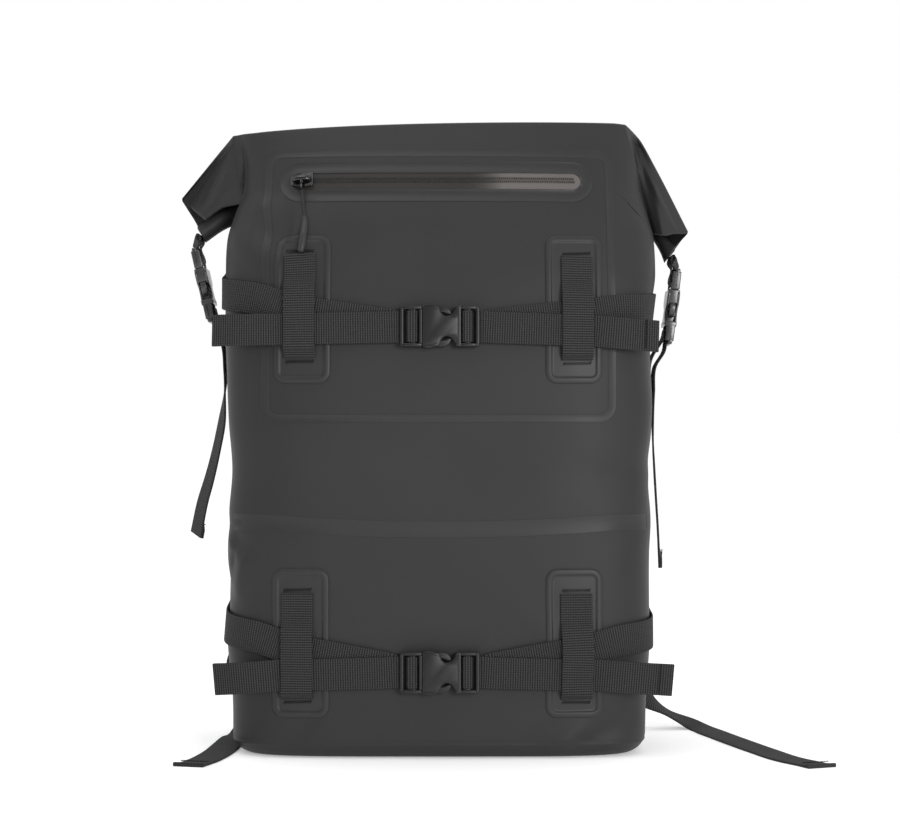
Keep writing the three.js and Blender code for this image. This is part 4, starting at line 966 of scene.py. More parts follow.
def resample(points: Array, pitch: float, extras: tuple[Array, ...] = ()) -> tuple[Array, ...]:
    """Smooth curve through points at an even pitch, with other rows carried along.

    Args:
        points: the points of the line.
        pitch: distance between the new stations.
        extras: rows, one for each point, that are eased in the same way.

    Returns:
        The new points, and the new extras.
    """
    at = lengths_along(points)
    count = max(int(np.ceil(at[-1] / pitch)), 2)
    new = np.linspace(0, at[-1], count + 1)
    results = [curve_through(at, points, new)]
    results += [curve_through(at, extra, new) for extra in extras]
    return tuple(results)


def curve_through(knots: Array, values: Array, at: Array) -> Array:
    """Cubic through every value, whose slopes weigh the stretches before and after by their length.

    Args:
        knots: places of the values.
        values: the values.
        at: places wanted.

    Returns:
        the values there.
    """
    step = np.diff(knots)[:, None]
    slope = np.diff(values, axis=0) / step
    inner = (slope[:-1] * step[1:] + slope[1:] * step[:-1]) / (step[1:] + step[:-1])
    slopes = np.concatenate([slope[:1], inner, slope[-1:]])
    i = np.clip(np.searchsorted(knots, at, side="right") - 1, 0, len(knots) - 2)
    h = step[i]
    t = np.clip((at - knots[i])[:, None] / h, 0, 1)
    low = values[i] * (2 * t**3 - 3 * t**2 + 1) + slopes[i] * h * (t**3 - 2 * t**2 + t)
    return low + values[i + 1] * (3 * t**2 - 2 * t**3) + slopes[i + 1] * h * (t**3 - t**2)


def flat_section(width: float, thickness: float, edge: int = 4) -> Array:
    """Closed outline of a strap, across and out: level faces and half-round edges.

    Args:
        width: width over all.
        thickness: thickness over all.
        edge: points in each half-round edge.

    Returns:
        Points such that point i faces point count - 1 - i.
    """
    half, radius = width / 2, thickness / 2
    level = np.linspace(-half + radius, half - radius, 7)
    turn = np.linspace(0, np.pi, edge + 2)[1:-1]
    right = np.stack([half - radius + radius * np.sin(turn), -radius * np.cos(turn)], axis=1)
    lower = np.stack([level, np.full(7, -radius)], axis=1)
    upper = np.stack([level[::-1], np.full(7, radius)], axis=1)
    left = np.stack([-half + radius - radius * np.sin(turn), radius * np.cos(turn)], axis=1)
    h = len(turn) // 2
    return np.concatenate([left[h:], lower, right, upper, left[:h]])


def sweep(points: Array, across: Array, out: Array, sections: Array) -> Surface:
    """Closed skin over sections carried along a line, with both ends closed.

    Args:
        points: stations of the line.
        across: direction across the section at each station.
        out: direction out of the section at each station.
        sections: one closed outline of (across, out) for each station.

    Returns:
        The surface, whose flat map is (across, distance along).
    """
    rings = points[:, None] + sections[..., :1] * across[:, None] + sections[..., 1:] * out[:, None]
    at = lengths_along(points)
    flat = np.stack([sections[..., 0], np.broadcast_to(at[:, None], sections.shape[:2])], axis=-1)
    skin = grid(rings, flat, wrap_columns=True)
    caps = [end_cap(rings[i], flat[i]) for i in (0, -1)]
    return joined([skin, *caps])


def frames_along(points: Array, across: Array) -> tuple[Array, Array]:
    """Directions across and out at each station, square to the line.

    Args:
        points: the line.
        across: wanted directions across it.

    Returns:
        the directions across and out.
    """
    along = unit(np.gradient(points, axis=0))
    level = unit(across - np.sum(across * along, axis=1, keepdims=True) * along)
    return level, np.cross(along, level)


def ribbon(
    points: Array,
    across: Array,
    width: float = WEB_WIDTH,
    thickness: float = WEB,
    widths: Array | None = None,
    pitch: float = 1.6,
    thick: tuple[tuple[float, float], ...] = (),
) -> Surface:
    """A strap along a line.

    Args:
        points: the line through its middle.
        across: direction across it at each point.
        width: its width.
        thickness: its thickness.
        widths: share of the width at each point.
        pitch: distance between stations.
        thick: stretches (from, to) in shares of the length that are folded double outwards.

    Returns:
        The strap's surface.
    """
    widths = np.ones(len(points)) if widths is None else np.asarray(widths, float)
    points, across, widths = resample(points, pitch, (across, widths[:, None]))
    level, out = frames_along(points, unit(across))
    section = flat_section(width, thickness)
    sections = np.repeat(section[None], len(points), axis=0)
    sections[..., 0] *= widths
    at = lengths_along(points) / max(lengths_along(points)[-1], 1e-6)
    for start, end in thick:
        fold = fold_profile(at, start, end)
        upper = sections[..., 1] > 0
        sections[..., 1] += np.where(upper, fold[:, None] * thickness, 0)
    return sweep(points, level, out, sections)


def fold_profile(at: Array, start: float, end: float) -> Array:
    """Share of an extra layer: 1 between start and end, with short slopes."""
    slope = 0.02 * (end - start) + 1e-4
    return np.clip((at - start) / slope, 0, 1) * np.clip((end - at) / slope, 0, 1)


def tube(points: Array, radii: Array, sides: int = 14, ends: float = 0.6) -> Surface:
    """Round tube along a line with rounded ends.

    Args:
        points: the line.
        radii: its radius at each point.
        sides: points round it.
        ends: how far, in radii, each rounded end runs on.

    Returns:
        The tube's surface.
    """
    along = unit(np.gradient(points, axis=0))
    start = along[0] * radii[0] * ends
    stop = along[-1] * radii[-1] * ends
    first = [points[0] - start * s for s in (1, 0.92, 0.6)]
    last = [points[-1] + stop * s for s in (0.6, 0.92, 1)]
    line = np.concatenate([first, points, last])
    rounding = np.array([0.05, 0.45, 0.85])
    swell = np.concatenate([radii[0] * rounding, radii, radii[-1] * rounding[::-1]])
    level, out = frames_along(line, np.broadcast_to([0.0, 1.0, 0.1], line.shape))
    turn = np.arange(sides) * TAU / sides + TAU / sides / 2
    circle = np.stack([np.cos(turn), np.sin(turn)], axis=1)
    return sweep(line, level, out, circle[None] * swell[:, None, None])


@dataclass(frozen=True)
class BagShell:
    """The bag: outer wall, rim that steps in behind the rolled top's front layer, and inner wall."""

    columns: int = 300
    row_pitch: float = 4.0
    wall: float = 2.0
    lap: float = 1.3
    lap_height: float = 449.4

    def turns(self) -> Array:
        """Turns round the bag that are evenly spaced along its outline.

        Returns:
            the turns.
        """
        fine = np.linspace(0, TAU, 6001)
        at = lengths_along(FORM.wall(fine, np.full(6001, 240.0), soft=False))
        return np.interp(np.arange(self.columns) / self.columns * at[-1], at, fine)

    def row(self, turns: Array, z: float, inset: Array) -> Array:
        """Ring at a height, which rises towards the back above the settled part of the wall.

        Args:
            turns: turns round the bag.
            z: height at the front.
            inset: distance inside the outer face.

        Returns:
            the ring.
        """
        settle = FORM.high(0.6)
        rise = max(z - settle, 0) / (FORM.neck - settle)
        back = FORM.back_rise * np.maximum(0, -np.cos(turns)) ** 2
        return FORM.wall(turns, z + rise * back, inset)

    def build(self) -> bpy.types.Object:
        """Makes the bag.

        Returns:
            the piece.
        """
        turns = self.turns()
        front = smooth_share(np.cos(turns) * 4 + 1.2)
        lap = self.lap * front
        rounding = FORM.base_radius * (1 - np.cos(np.linspace(0, np.pi / 2, 30)))
        rows = [self.row(turns, z, 0) for z in rounding]
        heights = np.arange(FORM.base_radius + 2, self.lap_height, self.row_pitch)
        rows += [self.row(turns, z, 0) for z in [*heights, self.lap_height]]
        rows += [self.row(turns, self.lap_height + 0.1, lap), self.row(turns, self.lap_height + 1.6, lap)]
        rows += [self.row(turns, self.lap_height + 1.6, lap + self.wall * 0.7)]
        inner = [*np.arange(430, 30, -25.0), 16, 9, 5, 3, 2.05]
        rows += [self.row(turns, z, self.wall) for z in inner]
        middle = np.array([0, 2.0, 0])
        outer_base = [rows[0] * [s, s, 1] + middle * (1 - s) for s in (0, 0.4, 0.75, 0.95)]
        inner_base = [rows[-1] * [s, s, 1] + middle * (1 - s) for s in (0.9, 0.4, 0)]
        points = np.stack([*outer_base, *rows, *inner_base])
        at = lengths_along(rows[40])
        flat = np.stack([np.broadcast_to(at, points.shape[:2]), points[..., 2]], axis=-1)
        surface = grid(points, flat, wrap_columns=True)
        return make_piece("bag_shell", surface, "coated_fabric", ("bag_body",), sharp=50)


Ear = tuple[tuple[float, ...], ...]


@dataclass(frozen=True)
class RolledTop:
    """The mouth folded back over the ridge and rolled, from the left ear to the right ear."""

    layer: float = 2.4
    roll_radius: float = 8.5
    roll_turns: float = 1.35
    flat: tuple[float, float] = (0.41, 0.21)
    ridge_drop: float = 10
    hem: float = 447.4
    right_crease: float = 0.441
    front_rows: int = 44
    flap_rows: int = 12
    roll_rows: int = 60
    left_ear: Ear = (
        (-0.62, 0.876, -0.562, 0.843, -0.08, -0.576, 0.823, 0.06),
        (-0.553, 0.932, -0.512, 0.8625, -0.1, -0.528, 0.845, 0.09),
        (-0.497, 0.98, -0.472, 0.866, -0.1, -0.488, 0.858, 0.135),
    )
    right_ear: Ear = (
        (0.474, 0.981, 0.517, 0.8175, -0.1, 0.474, 0.862, 0.21),
        (0.515, 0.93, 0.532, 0.815, -0.11, 0.514, 0.832, 0.14),
        (0.594, 0.822, 0.552, 0.82, -0.09, 0.554, 0.789, 0.06),
    )

    def ear_row(self, ear: tuple[float, ...]) -> list[float]:
        """Fold, hem and roll of an ear's station in millimetres, and nought for off the bag.

        Args:
            ear: the station's shares of the bag.

        Returns:
            the ten numbers.
        """
        fold_x, fold_z, hem_x, hem_z, hem_y, roll_x, roll_z, roll_y = ear
        fold = [FORM.along(fold_x), FORM.deep(hem_y + roll_y) / 2, FORM.high(fold_z)]
        hem = [FORM.along(hem_x), FORM.deep(hem_y), FORM.high(hem_z)]
        return [*fold, *hem, FORM.along(roll_x), FORM.deep(roll_y), FORM.high(roll_z), 0]

    def straight_row(self, share: float) -> list[float]:
        """Fold, hem and roll of a station on the bag, and one for on the bag.

        Args:
            share: its place across the bag.

        Returns:
            the ten numbers.
        """
        x = FORM.along(share)
        roll_z = FORM.high(0.89 - 0.125 * share * share)
        behind = FORM.wall(np.pi - FORM.turn_at(x, roll_z), roll_z - self.roll_radius)[1]
        ridge = FORM.ridge - self.ridge_drop * (0.5 - share) ** 3
        fold = [x, FORM.wall(FORM.turn_at(x, ridge), ridge)[1] + self.layer, ridge - self.layer / 2]
        hem = [x, FORM.wall(FORM.turn_at(x, self.hem), self.hem)[1], self.hem]
        return [*fold, *hem, x, behind + self.roll_radius + self.layer, roll_z, 1]

    def stations(self) -> Array:
        """Every station, eased within each ear and across the bag, with a crease where they meet.

        Returns:
            one row of ten numbers for each station.
        """
        left = [self.ear_row(ear) for ear in self.left_ear]
        corner = self.straight_row(self.right_crease)
        corner[3:6] = [FORM.along(0.505), FORM.deep(-0.1), FORM.high(0.82)]
        right = [corner, *[self.ear_row(ear) for ear in self.right_ear]]
        straight = [self.straight_row(s) for s in np.linspace(-0.45, 0.41, 31)]
        parts = [np.array(left), np.array([left[-1], *straight, right[0]]), np.array(right)]
        made = []
        for part, count in zip(parts, (30, 170, 30)):
            new = np.linspace(part[0, 0], part[-1, 0], count)
            eased = steady(part[:, 0], part, new)
            made.append(eased if not made else eased[1:])
        return np.concatenate(made)

    def route(self, row: Array) -> Array:
        """Middle of the layer at one station, from the hem to the end inside the roll.

        Args:
            row: the station's ten numbers.

        Returns:
            the line.
        """
        fold, hem, roll, on_bag = row[:3], row[3:6], row[6:9], row[9]
        t = np.linspace(0, 1, self.front_rows)[:, None]
        front = hem + (fold - hem) * t
        wall_y = FORM.wall(FORM.turn_at(front[:, 0], front[:, 2]), front[:, 2])[:, 1] + self.layer / 2
        front[:, 1] += on_bag * (wall_y - front[:, 1])
        up = unit((fold - roll) * [1, 0, 1])
        flap_end = roll + [0, self.roll_radius, 0]
        s = np.linspace(0, 1, self.flap_rows)[1:-1, None]
        bulge = self.roll_radius * 0.7 * np.sin(np.pi * s)
        flap = fold + (flap_end - fold) * s + bulge * [0, 1, 0]
        turned = TAU * self.roll_turns * np.linspace(0, 1, self.roll_rows)[:, None]
        radius = self.roll_radius - 1.45 * self.layer * turned / TAU
        coil = roll - up * radius * np.sin(turned) + radius * np.cos(turned) * [0, 1, 0]
        return np.concatenate([front, flap, coil])

    def build(self) -> bpy.types.Object:
        """Returns:
            the piece.
        """
        rows = self.stations()
        middle = np.stack([self.route(row) for row in rows])
        for _ in range(3):
            near = slice(self.front_rows - 3, self.front_rows + 3)
            eased = (middle[:, :-2] + 2 * middle[:, 1:-1] + middle[:, 2:]) / 4
            middle[:, near] = eased[:, near.start - 1 : near.stop - 1]
        along = unit(np.gradient(middle, axis=1))
        sweep = unit(np.gradient(rows[:, 6:9], axis=0) * [1, 1, 0])
        face = unit(np.cross(along, sweep[:, None])) * self.layer / 2
        outer, inner = middle - face, middle + face
        self.lay_on_wall(outer, rows)
        self.crumple(outer, inner, rows)
        rings = np.concatenate([inner, outer[:, ::-1]], axis=1)
        down = np.concatenate([np.arange(middle.shape[1]), np.arange(middle.shape[1])[::-1]]) * 1.5
        flat = np.stack([rings[..., 0], np.broadcast_to(down, rings.shape[:2])], axis=-1)
        skin = grid(rings, flat, wrap_columns=True)
        caps = [end_cap(rings[i], flat[i]) for i in (0, -1)]
        surface = joined([skin, *caps])
        mouth = make_piece("rolled_mouth", surface, "coated_fabric", ("rolled_top",), sharp=26)
        return mouth

    def lay_on_wall(self, outer: Array, rows: Array) -> None:
        """Draws the outer face of the front layer onto the bag's wall, less and less near the ridge.

        Args:
            outer: the face.
            rows: the stations.
        """
        front = outer[:, : self.front_rows]
        wall_y = FORM.wall(FORM.turn_at(front[..., 0], front[..., 2]), front[..., 2])[..., 1] - 0.06
        t = np.linspace(0, 1, self.front_rows)
        share = rows[:, 9:] * (1 - smooth_share((t - 0.86) / 0.12))
        front[..., 1] += share * (wall_y - front[..., 1])
        front[..., 1] -= 0.14 * smooth_share((self.hem - front[..., 2]) / 6) * rows[:, 9:]

    def crumple(self, outer: Array, inner: Array, rows: Array) -> None:
        """Adds the soft folds of the ears: waves that start at the crease and die out at the tip.

        Args:
            outer: outer face.
            inner: inner face.
            rows: the stations.
        """
        x = rows[:, 0]
        left = np.clip((x[:, None] + FORM.along(0.497)) / -FORM.along(0.123), 0, 1)
        right = np.clip((x[:, None] - FORM.along(self.right_crease)) / FORM.along(0.153), 0, 1)
        t = np.linspace(0, 1, self.front_rows)
        rib = np.exp(-(((t - 0.86 + 0.62 * left) / 0.11) ** 2)) * np.sin(np.pi * left) ** 0.7
        dip = np.exp(-(((t - 0.35 + 0.2 * left) / 0.1) ** 2)) * np.sin(np.pi * left)
        other = np.exp(-(((t - 0.8 + 0.5 * right) / 0.12) ** 2)) * np.sin(np.pi * right) ** 0.7
        below = 1 - smooth_share((t - 0.88) / 0.1)
        back = below * (2.2 * smooth_share(left / 0.05) + 9.0 * left)
        valley = below * 6.5 * smooth_share(right / 0.05) * (1 - smooth_share((right - 0.06) / 0.42))
        push = -2.2 * rib + 1.6 * dip - 2.0 * other + back + valley
        for side in (outer, inner):
            side[:, : self.front_rows, 1] += push


def loop_steps(w: float, h: float, r: float, level: int, upright: int) -> Array:
    """Rounded rectangle with given counts of steps on its level and upright stretches.

    Args:
        w: half width.
        h: half height.
        r: corner radius.
        level: steps on a level half side.
        upright: steps on an upright half side.

    Returns:
        the points, once round.
    """
    turn = np.linspace(0, np.pi / 2, 9)
    arc = np.stack([w - r + r * np.sin(turn), h - r + r * np.cos(turn)], axis=1)
    top = np.stack([np.linspace(0, w - r, level + 1)[:-1], np.full(level, h)], axis=1)
    top[0, 0] = 0.3 * max(w - r, 0.01) / level
    side = np.stack([np.full(upright, w), np.linspace(h - r, r - h, upright + 2)[1:-1]], axis=1)
    right = np.concatenate([top, arc, side, arc[::-1] * [1, -1], top[::-1] * [1, -1]])
    return np.concatenate([right, right[::-1] * [-1, 1]])


@dataclass(frozen=True)
class WeldedShape:
    """A welded rounded rectangle on the front: its middle, its size and its profile from the edge in."""

    name: str
    node: str
    middle: tuple[float, float]
    size: tuple[float, float]
    corner: float
    profile: tuple[tuple[float, float], ...]
    filled: bool = False

    def build(self) -> bpy.types.Object:
        """Makes the piece: a ring, or a plate that is closed in the middle.

        Returns:
            the piece.
        """
        w, h = self.size[0] / 2, self.size[1] / 2
        level, upright = max(int(w / 3), 3), max(int(h / 1.6), 3)
        rings = []
        for inset, stand in self.profile:
            r = max(min(self.corner - inset, w - inset, h - inset), 0.3)
            loop = loop_steps(w - inset, h - inset, r, level, upright)
            x, z = self.middle[0] + loop[:, 0], self.middle[1] + loop[:, 1]
            rings.append(FORM.off_front(x, z, np.full(len(x), stand)))
        rings = np.stack(rings)
        flat = rings[..., [0, 2]]
        if self.filled:
            caps = [end_cap(rings[i], flat[i]) for i in (0, -1)]
            surface = joined([grid(rings, flat, wrap_columns=True), *caps])
        else:
            surface = grid(rings, flat, wrap_rows=True, wrap_columns=True)
        return make_piece(self.name, surface, "welded_tape", (self.node,), sharp=60)


def beaded_band(width: float, bead: float = 0.5, floor: float = 0.2) -> tuple[tuple[float, float], ...]:
    """Profile of a flat band with a rounded bead along each edge.

    Args:
        width: its width.
        bead: height of the beads.
        floor: height between them.

    Returns:
        pairs of inset and height.
    """
    edge = [(0.0, -0.5), (0.0, 0.1), (0.1, bead * 0.8), (0.35, bead), (0.65, bead * 0.8), (0.95, floor)]
    back = [(width - inset, stand) for inset, stand in reversed(edge)]
    return (*edge, (width / 2, floor), *back)


PATCH_PROFILE = (
    (20.0, -0.4), (6.0, -0.4), (0.1, -0.4), (0.0, 0.5), (0.25, 0.95), (0.8, 1.2), (1.6, 1.45), (3.6, 1.5),
    (4.4, 1.35), (5.0, 0.8), (5.4, 0.6), (6.6, 0.6), (12.0, 0.8), (20.5, 0.85),
)
ZIP_PROFILE = (
    (0.0, -0.5), (0.0, 0.1), (0.1, 0.42), (0.35, 0.52), (0.65, 0.42), (0.95, 0.25), (5.0, 0.28), (9.0, 0.4),
    (9.4, 0.8), (9.65, 0.9), (9.9, 0.8), (10.0, 0.5), (9.9, 0.3), (9.7, -0.5),
)
LOOP_ROWS = {
    "upper_left": (-0.322, 0.6165, 0.778, 0.629, 0.722, -0.317, 0.693),
    "upper_right": (0.316, 0.6135, 0.7735, 0.62, 0.713, 0.309, 0.6925),
    "lower_left": (-0.3265, 0.093, 0.2555, 0.098, 0.195, -0.32, 0.178),
    "lower_right": (0.3135, 0.0925, 0.2545, 0.098, 0.194, 0.309, 0.178),
}


@dataclass(frozen=True)
class WeldedTrim:
    """Welded tapes and patches of the front and the back."""

    seam_width: float = 13
    seam_height: float = 179.5

    def build(self) -> None:
        """Makes every welded piece."""
        shapes = [
            WeldedShape("pocket_welt", "pocket_tape", (-1, 372.5), (279, 219), 14, beaded_band(6.5, 0.36)),
            WeldedShape("zip_surround", "zip_frame", (-3.0, ZIP_LEVEL), (250, 33.5), 16.75, ZIP_PROFILE),
        ]
        for shape in shapes:
            shape.build()
        for name, row in LOOP_ROWS.items():
            middle = (FORM.along(row[5]), FORM.high(row[6]))
            node = "loop_patch_" + name
            patch = WeldedShape("patch_" + name, node, middle, (44.5, 116.5), 9, PATCH_PROFILE, filled=True)
            patch.build()
        self.seam()
        self.back_patch("yoke_patch", "shoulder_yoke", (-0.25, 0.25), 0.79, 22.25)
        for side, sign in SIDES.items():
            ends = tuple(sorted((0.35 * sign, 0.44 * sign)))
            self.back_patch("anchor_" + side, "lower_anchor_" + side, ends, 0.06, 35.6)

    def seam(self) -> None:
        """Seam tape across the middle of the front, a little higher at its ends."""
        share = np.linspace(-0.48, 0.482, 240)
        profile = np.array(beaded_band(self.seam_width, 0.24, 0.12))
        z = self.seam_height + self.seam_width * 2.5 * np.minimum(share**2, 0.16)
        x = FORM.along(share)
        rings = []
        for i in range(len(share)):
            heights = z[i] - self.seam_width / 2 + profile[:, 0]
            rings.append(FORM.off_front(np.full(len(profile), x[i]), heights, profile[:, 1]))
        rings = np.stack(rings)
        surface = closed_strip(rings)
        make_piece("seam_tape", surface, "welded_tape", ("middle_seam_tape",), sharp=60)

    def back_patch(
        self, name: str, node: str, ends: tuple, share: float, height: float
    ) -> None:
        """Welded patch on the back with a bead along its long edges.

        Args:
            name: its name.
            node: the node that it stands for.
            ends: shares of the bag across.
            share: share of the bag up.
            height: its height.
        """
        x = FORM.along(np.linspace(ends[0], ends[1], 60))
        profile = np.array(beaded_band(height, 1.1, 0.8))
        slope = np.minimum(np.arange(60), np.arange(60)[::-1])
        settle = smooth_share(slope / 2.0)
        rings = []
        for i, place in enumerate(x):
            heights = FORM.high(share) - height / 2 + profile[:, 0]
            turns = FORM.back_turn(np.full(len(profile), place), heights)
            stands = np.where(profile[:, 1] > 0, profile[:, 1] * settle[i], -0.5)
            rings.append(FORM.off(turns, heights, stands))
        make_piece(name, closed_strip(np.stack(rings)), "welded_tape", (node,), sharp=60)


def closed_strip(rings: Array) -> Surface:
    """Closed surface over open profiles, with its underside and ends closed by quads.

    Args:
        rings: the profiles, one for each station.

    Returns:
        the surface.
    """
    flat = rings[..., [0, 2]]
    skin = grid(rings, flat, wrap_columns=True)
    half = rings.shape[1] // 2 * 2
    if rings.shape[1] % 2:
        rings = np.concatenate([rings[:, : half // 2], rings[:, half // 2 + 1 :]], axis=1)
        return closed_strip(rings)
    return joined([skin, *[end_cap(rings[i], flat[i]) for i in (0, -1)]])


ZIP_LEVEL = 454.8
CORD_ROUTE = (
    (-109.8, -46.6, 450.8), (-109.6, -48.4, 447.3), (-109.0, -51.0, 442.0), (-108.2, -53.8, 436.6),
    (-107.4, -57.0, 430.6), (-106.7, -60.7, 424.6), (-106.5, -63.1, 419.8), (-106.7, -66.1, 415.0),
    (-107.1, -69.0, 410.8), (-107.7, -70.6, 406.4), (-108.3, -71.7, 402.2), (-109.0, -72.7, 398.2),
)


@dataclass(frozen=True)
class ZipPull:
    """The zip's pull: a cord from the slider's bridge, and the sleeve round its lower end."""

    cord_radius: float = 1.1
    sleeve_radius: float = 2.9
    sleeve_from: int = 5

    def build(self) -> None:
        line = resample(np.array(CORD_ROUTE), 0.9)[0]
        cord_mesh = tube(line, np.full(len(line), self.cord_radius), sides=12)
        cord = make_piece("pull_cord", cord_mesh, "zip_cord", ("zip_pull_cord",), sharp=80)
        lower = resample(np.array(CORD_ROUTE[self.sleeve_from :]), 0.7)[0]
        at = np.linspace(0, 1, len(lower))
        swell = 0.88 + 0.12 * smooth_share(at * 3) - 0.1 * smooth_share((at - 0.93) / 0.07)
        ring = 0.09 * (np.abs(at - 0.06) < 0.03) + 0.09 * (np.abs(at - 0.94) < 0.03)
        sleeve_mesh = tube(lower, self.sleeve_radius * (swell - ring), sides=20)
        node = ("zip_pull_grip",)
        sleeve = make_piece("pull_sleeve", sleeve_mesh, "grip_rubber", node, sharp=60)
        float(lengths_along(line)[-1]) * MM


@dataclass(frozen=True)
class Zip:
    """The zip in its welded surround: tape, two rows of teeth and the slider."""

    middle: float = -3.0
    level: float = ZIP_LEVEL
    tape_half: float = 115.8
    tape_height: float = 15.5
    pitch: float = 1.5
    row_height: float = 1.25
    row_shift: float = 0.8
    seat: tuple[float, float, float] = (-109.55, -42.85, 455.22)
    slider_scale: float = 1.4
    up: tuple[float, float, float] = (0, 0.443, 0.897)
    out: tuple[float, float, float] = (-0.194, -0.880, 0.434)

    def build(self) -> None:
        """Makes the tape, the teeth and the slider."""
        self.tape()
        self.teeth()
        self.slider()

    def tape(self) -> None:
        """Woven tape that rises a little to the teeth."""
        half = [(1, -0.5), (1, 0.1), (0.6, 0.3), (0.16, 0.55)]
        profile = [*[(-a, b) for a, b in half], (0, 0.5), *half[::-1]]
        rings = []
        for x in np.linspace(self.middle - self.tape_half, self.middle + self.tape_half, 150):
            heights = np.array([self.level + a * self.tape_height / 2 for a, _ in profile])
            stands = np.array([b for _, b in profile])
            rings.append(FORM.off_front(np.full(len(profile), x), heights, stands))
        make_piece("zip_fabric", closed_strip(np.stack(rings)), "zip_tape", ("zip_tape",))

    def teeth(self) -> None:
        """Two rows of small oval domes on the tape, half a pitch apart."""
        places = np.arange(self.middle - 104, self.middle + 110, self.pitch)
        x = np.concatenate([places, places + self.pitch / 2])
        z = self.level + self.row_height * np.repeat([1.0, -1.0], len(places)) + self.row_shift
        turn = np.arange(8) * TAU / 8
        size, stand = np.array([(0.01, -0.2), (1.0, -0.1), (1.0, 0.75), (0.75, 1.05), (0.01, 1.15)]).T
        across = x[:, None, None] + 0.46 * size[:, None] * np.cos(turn)
        height = z[:, None, None] + 1.2 * size[:, None] * np.sin(turn)
        stands = np.broadcast_to(stand[:, None], across.shape)
        domes = FORM.off_front(across, height, stands)
        rows = joined([grid(dome, dome[..., [0, 2]], wrap_columns=True) for dome in domes])
        make_piece("zip_coil", rows, "buckle_plastic", ("zip_teeth",), sharp=80)

    def slider(self) -> None:
        """Slider of two cheeks with an arched bridge, and the ring that the cord is tied to."""
        out = unit(np.array(self.out))
        up = unit(np.array(self.up) - np.dot(self.up, out) * out)
        across = np.cross(up, out)
        axes = np.stack([across, up, out], axis=1)
        body = []
        for low, top, size in ((0.1, 0.5, 0.9), (0.5, 1.5, 1.0), (1.5, 1.9, 0.88)):
            lower = [(-6.4, -2.6), (0, -4.4), (5.6, -4.4), (6.4, -3.4)]
            outline = np.array([*lower, *[(a, -b) for a, b in lower[::-1]]])
            body.append((outline * size, low, top))
        rings = [np.c_[outline, np.full(8, h)] for outline, low, top in body for h in (low, top)]
        rings = np.stack([rings[0] * [0.01, 0.01, 1], *rings, rings[-1] * [0.01, 0.01, 1]])
        parts = [grid(rings, rings[..., :2], wrap_columns=True)]
        rise = ((-4.6, 1.6), (-4.4, 3.0), (-2.6, 4.1), (0.6, 4.3), (3.2, 3.9), (4.6, 2.8), (4.8, 1.6))
        arch = resample(np.array([(a, 0, b) for a, b in rise]), 0.6)[0]
        bridge = tube(arch, np.full(len(arch), 0.95), sides=12)
        bridge.points[:, 1] *= 1.7
        parts.append(bridge)
        turn = np.linspace(0, TAU, 25)[:-1]
        ring = np.stack([0.4 + 0 * turn, -3.2 + 3.0 * np.sin(turn), 3.0 + 1.9 * np.cos(turn)], axis=1)
        parts.append(self.ring(ring, 0.62))
        seat = np.array(self.seat)
        moved = [part.moved(axes * self.slider_scale, seat) for part in parts]
        runner, node = joined(moved), ("zip_slider",)
        make_piece("zip_runner", runner, "buckle_plastic", node, sharp=50, finish="slider_metal")

    def ring(self, line: Array, radius: float) -> Surface:
        """Closed round ring along a closed line.

        Args:
            line: its middle.
            radius: of its wire.

        Returns:
            the ring.
        """
        along = unit(np.roll(line, -1, axis=0) - np.roll(line, 1, axis=0))
        outward = unit(line - line.mean(axis=0))
        side = np.cross(along, outward)
        turn = np.arange(10) * TAU / 10
        round_it = np.cos(turn)[:, None] * outward[:, None] + np.sin(turn)[:, None] * side[:, None]
        points = line[:, None] + radius * round_it
        return grid(points, points[..., :2], wrap_rows=True, wrap_columns=True)
# Steps of a front strap that lie in the slots on both sides of a buckle's bar; the webbing there is given
# painted shade.


# Flat-map place in the furrow between two ribs, where the webbing's painted rib shade is darkest. It gives
# painted shade in a buckle's slots and the dark colour of the stitches.
FURROW = (0.95, 0.95)
LADDER_TURN = (
    (-3, 0), (9, 0), (11.4, 0.1), (12.7, 1.2), (13.1, 3.0), (13.0, 5.0), (12.1, 6.4), (9.55, 6.7),
    (7.0, 6.4), (6.1, 5.0), (5.9, 3.6), (5.0, 2.4), (3.2, 1.9), (1, 1.9), (-3, 1.9),
)
SEWN_STAND = 2.8
TAIL_STAND = 4.7


def hemmed_strap(
    name: str,
    node: str,
    steps: list,
    hem: float = 12.0,
    extras: tuple = (),
    painted_shade_steps: tuple[tuple[int, int], ...] = (),
) -> bpy.types.Object:
    """Makes a strap whose last stretch is folded double, with a row of stitches across the fold.

    Args:
        name: the piece's name.
        node: the node it stands for.
        steps: (middle, across) at each step.
        hem: length of the folded stretch, or nought.
        extras: further surfaces joined to the piece.
        painted_shade_steps: steps (from, to) between which the webbing is given painted shade, deep in a
            buckle's slots.

    Returns:
        The strap.
    """
    points = np.array([step[0] for step in steps], float)
    across = unit(np.array([step[1] for step in steps], float))
    length = lengths_along(points)[-1]
    thick = (((length - hem) / length, 2.0),) if hem else ()
    body = ribbon(points, across, thick=thick)
    body.points[:, 2] = np.maximum(body.points[:, 2], 0)
    along = lengths_along(points)
    # Painted shade: webbing deep in a buckle's slots takes the darkest furrow tone.
    for first, last in painted_shade_steps:
        inside = (body.flat[:, 1] > along[first]) & (body.flat[:, 1] < along[last])
        body.flat[inside] = FURROW
    parts = [body, *extras]
    if hem:
        parts.append(stitch_row(points, across, length - hem + 2.2, WEB * 1.5))
    return make_piece(name, joined(parts), "webbing", (node,), sharp=50)


